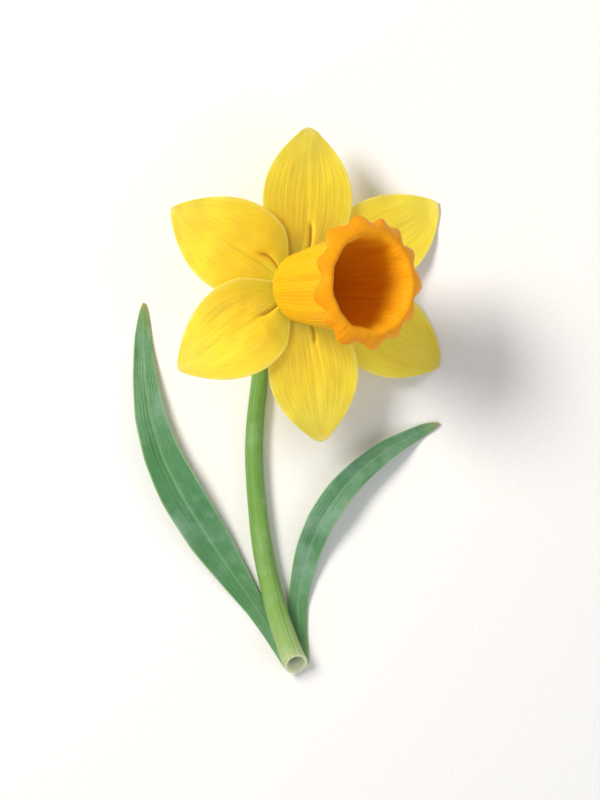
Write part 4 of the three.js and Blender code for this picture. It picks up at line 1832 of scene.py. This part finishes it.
@dataclass(frozen=True)
class Lamp:
    """A soft lamp: where it hangs and how it shines, in metres and watts."""

    name: str
    place: Triple
    size: float
    power: float
    colour: str


class Look(Enum):
    """How the light is turned into screen colours."""

    TRUE_COLOUR = "Standard"
    FILM = "AgX"


@dataclass
class Studio(SubAssembly):
    """Pale floor, soft lamps, and the camera that looks straight down. Its sizes are in metres."""

    look: Look = Look.TRUE_COLOUR
    view_centre: Pair = (0.004224, -0.00016)
    target_height: float = 0.02
    distance: float = 3.0
    sensor_mm: float = 36.0
    clip: Pair = (0.1, 20.0)
    floor_size: float = 6.0
    floor_drop: float = 0.00005
    floor_faces: int = 8
    lamps: tuple[Lamp, ...] = (
        Lamp("key_lamp", (-0.42, 0.3, 0.6), 0.3, 5.9, "FFFAF4"),
        Lamp("fill_lamp", (0.6, -0.25, 0.5), 0.6, 1.3, "F2F6FF"),
        Lamp("foot_lamp", (-0.1, -0.7, 0.45), 0.5, 0.9, "FFFFFF"),
    )
    air: str = "F4F6FA"
    air_strength: float = 0.4

    def build(self) -> None:
        """Builds the floor, the lamps, the air and the camera."""
        self.lay_floor()
        for lamp in self.lamps:
            self.hang(lamp)
        world = bpy.data.worlds.new("studio_air")
        world.use_nodes = True
        background = world.node_tree.nodes["Background"]
        background.inputs["Color"].default_value = srgb(self.air)
        background.inputs["Strength"].default_value = self.air_strength
        bpy.context.scene.world = world
        bpy.context.scene.view_settings.view_transform = self.look.value
        self.set_camera()

    def lay_floor(self) -> None:
        """Lays the floor just under the plant."""
        mesh, faces = bmesh.new(), self.floor_faces
        bmesh.ops.create_grid(mesh, x_segments=faces, y_segments=faces, size=self.floor_size / 2)
        bmesh.ops.translate(mesh, verts=mesh.verts, vec=(0, 0, -self.floor_drop))
        data = bpy.data.meshes.new("floor")
        mesh.to_mesh(data)
        mesh.free()
        data.materials.append(FloorPaint().make())
        floor = bpy.data.objects.new("floor", data)
        bpy.context.scene.collection.objects.link(floor)
        log.info("floor: %.0f m across", self.floor_size)

    def hang(self, lamp: Lamp) -> None:
        """Hangs a lamp and points it at the plant.

        Args:
            lamp: The lamp.
        """
        data = bpy.data.lights.new(lamp.name, "AREA")
        data.shape = "DISK"
        data.size = lamp.size
        data.energy = lamp.power
        data.color = srgb(lamp.colour)[:3]
        light = bpy.data.objects.new(lamp.name, data)
        light.location = lamp.place
        beam = Vector((*self.view_centre, self.target_height)) - light.location
        light.rotation_euler = beam.to_track_quat("-Z", "Y").to_euler()
        light.visible_camera = False
        bpy.context.scene.collection.objects.link(light)

    def set_camera(self) -> None:
        """Sets the camera above the plant, looking down, with the photograph's frame."""
        data = bpy.data.cameras.new("camera")
        data.sensor_width = self.sensor_mm
        data.lens = self.sensor_mm * self.distance / (IMAGE_HEIGHT_PX * MM_PER_PX * MM)
        data.clip_start, data.clip_end = self.clip
        camera = bpy.data.objects.new("camera", data)
        camera.location = (*self.view_centre, self.distance)
        bpy.context.scene.collection.objects.link(camera)
        bpy.context.scene.camera = camera


def main() -> None:
    """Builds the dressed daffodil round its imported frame."""
    logging.basicConfig(level=logging.INFO, format="%(name)s: %(message)s")
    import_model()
    flower = FlowerFrame()
    tube = FloralTube(flower)
    head = (Corona(flower), tube, Tepals(flower, tube), Stamens(flower), Pistil(flower))
    for part in (Studio(), *head, Stem(flower), Spathe(), Leaves()):
        part.build()


if __name__ == "__main__":
    main()
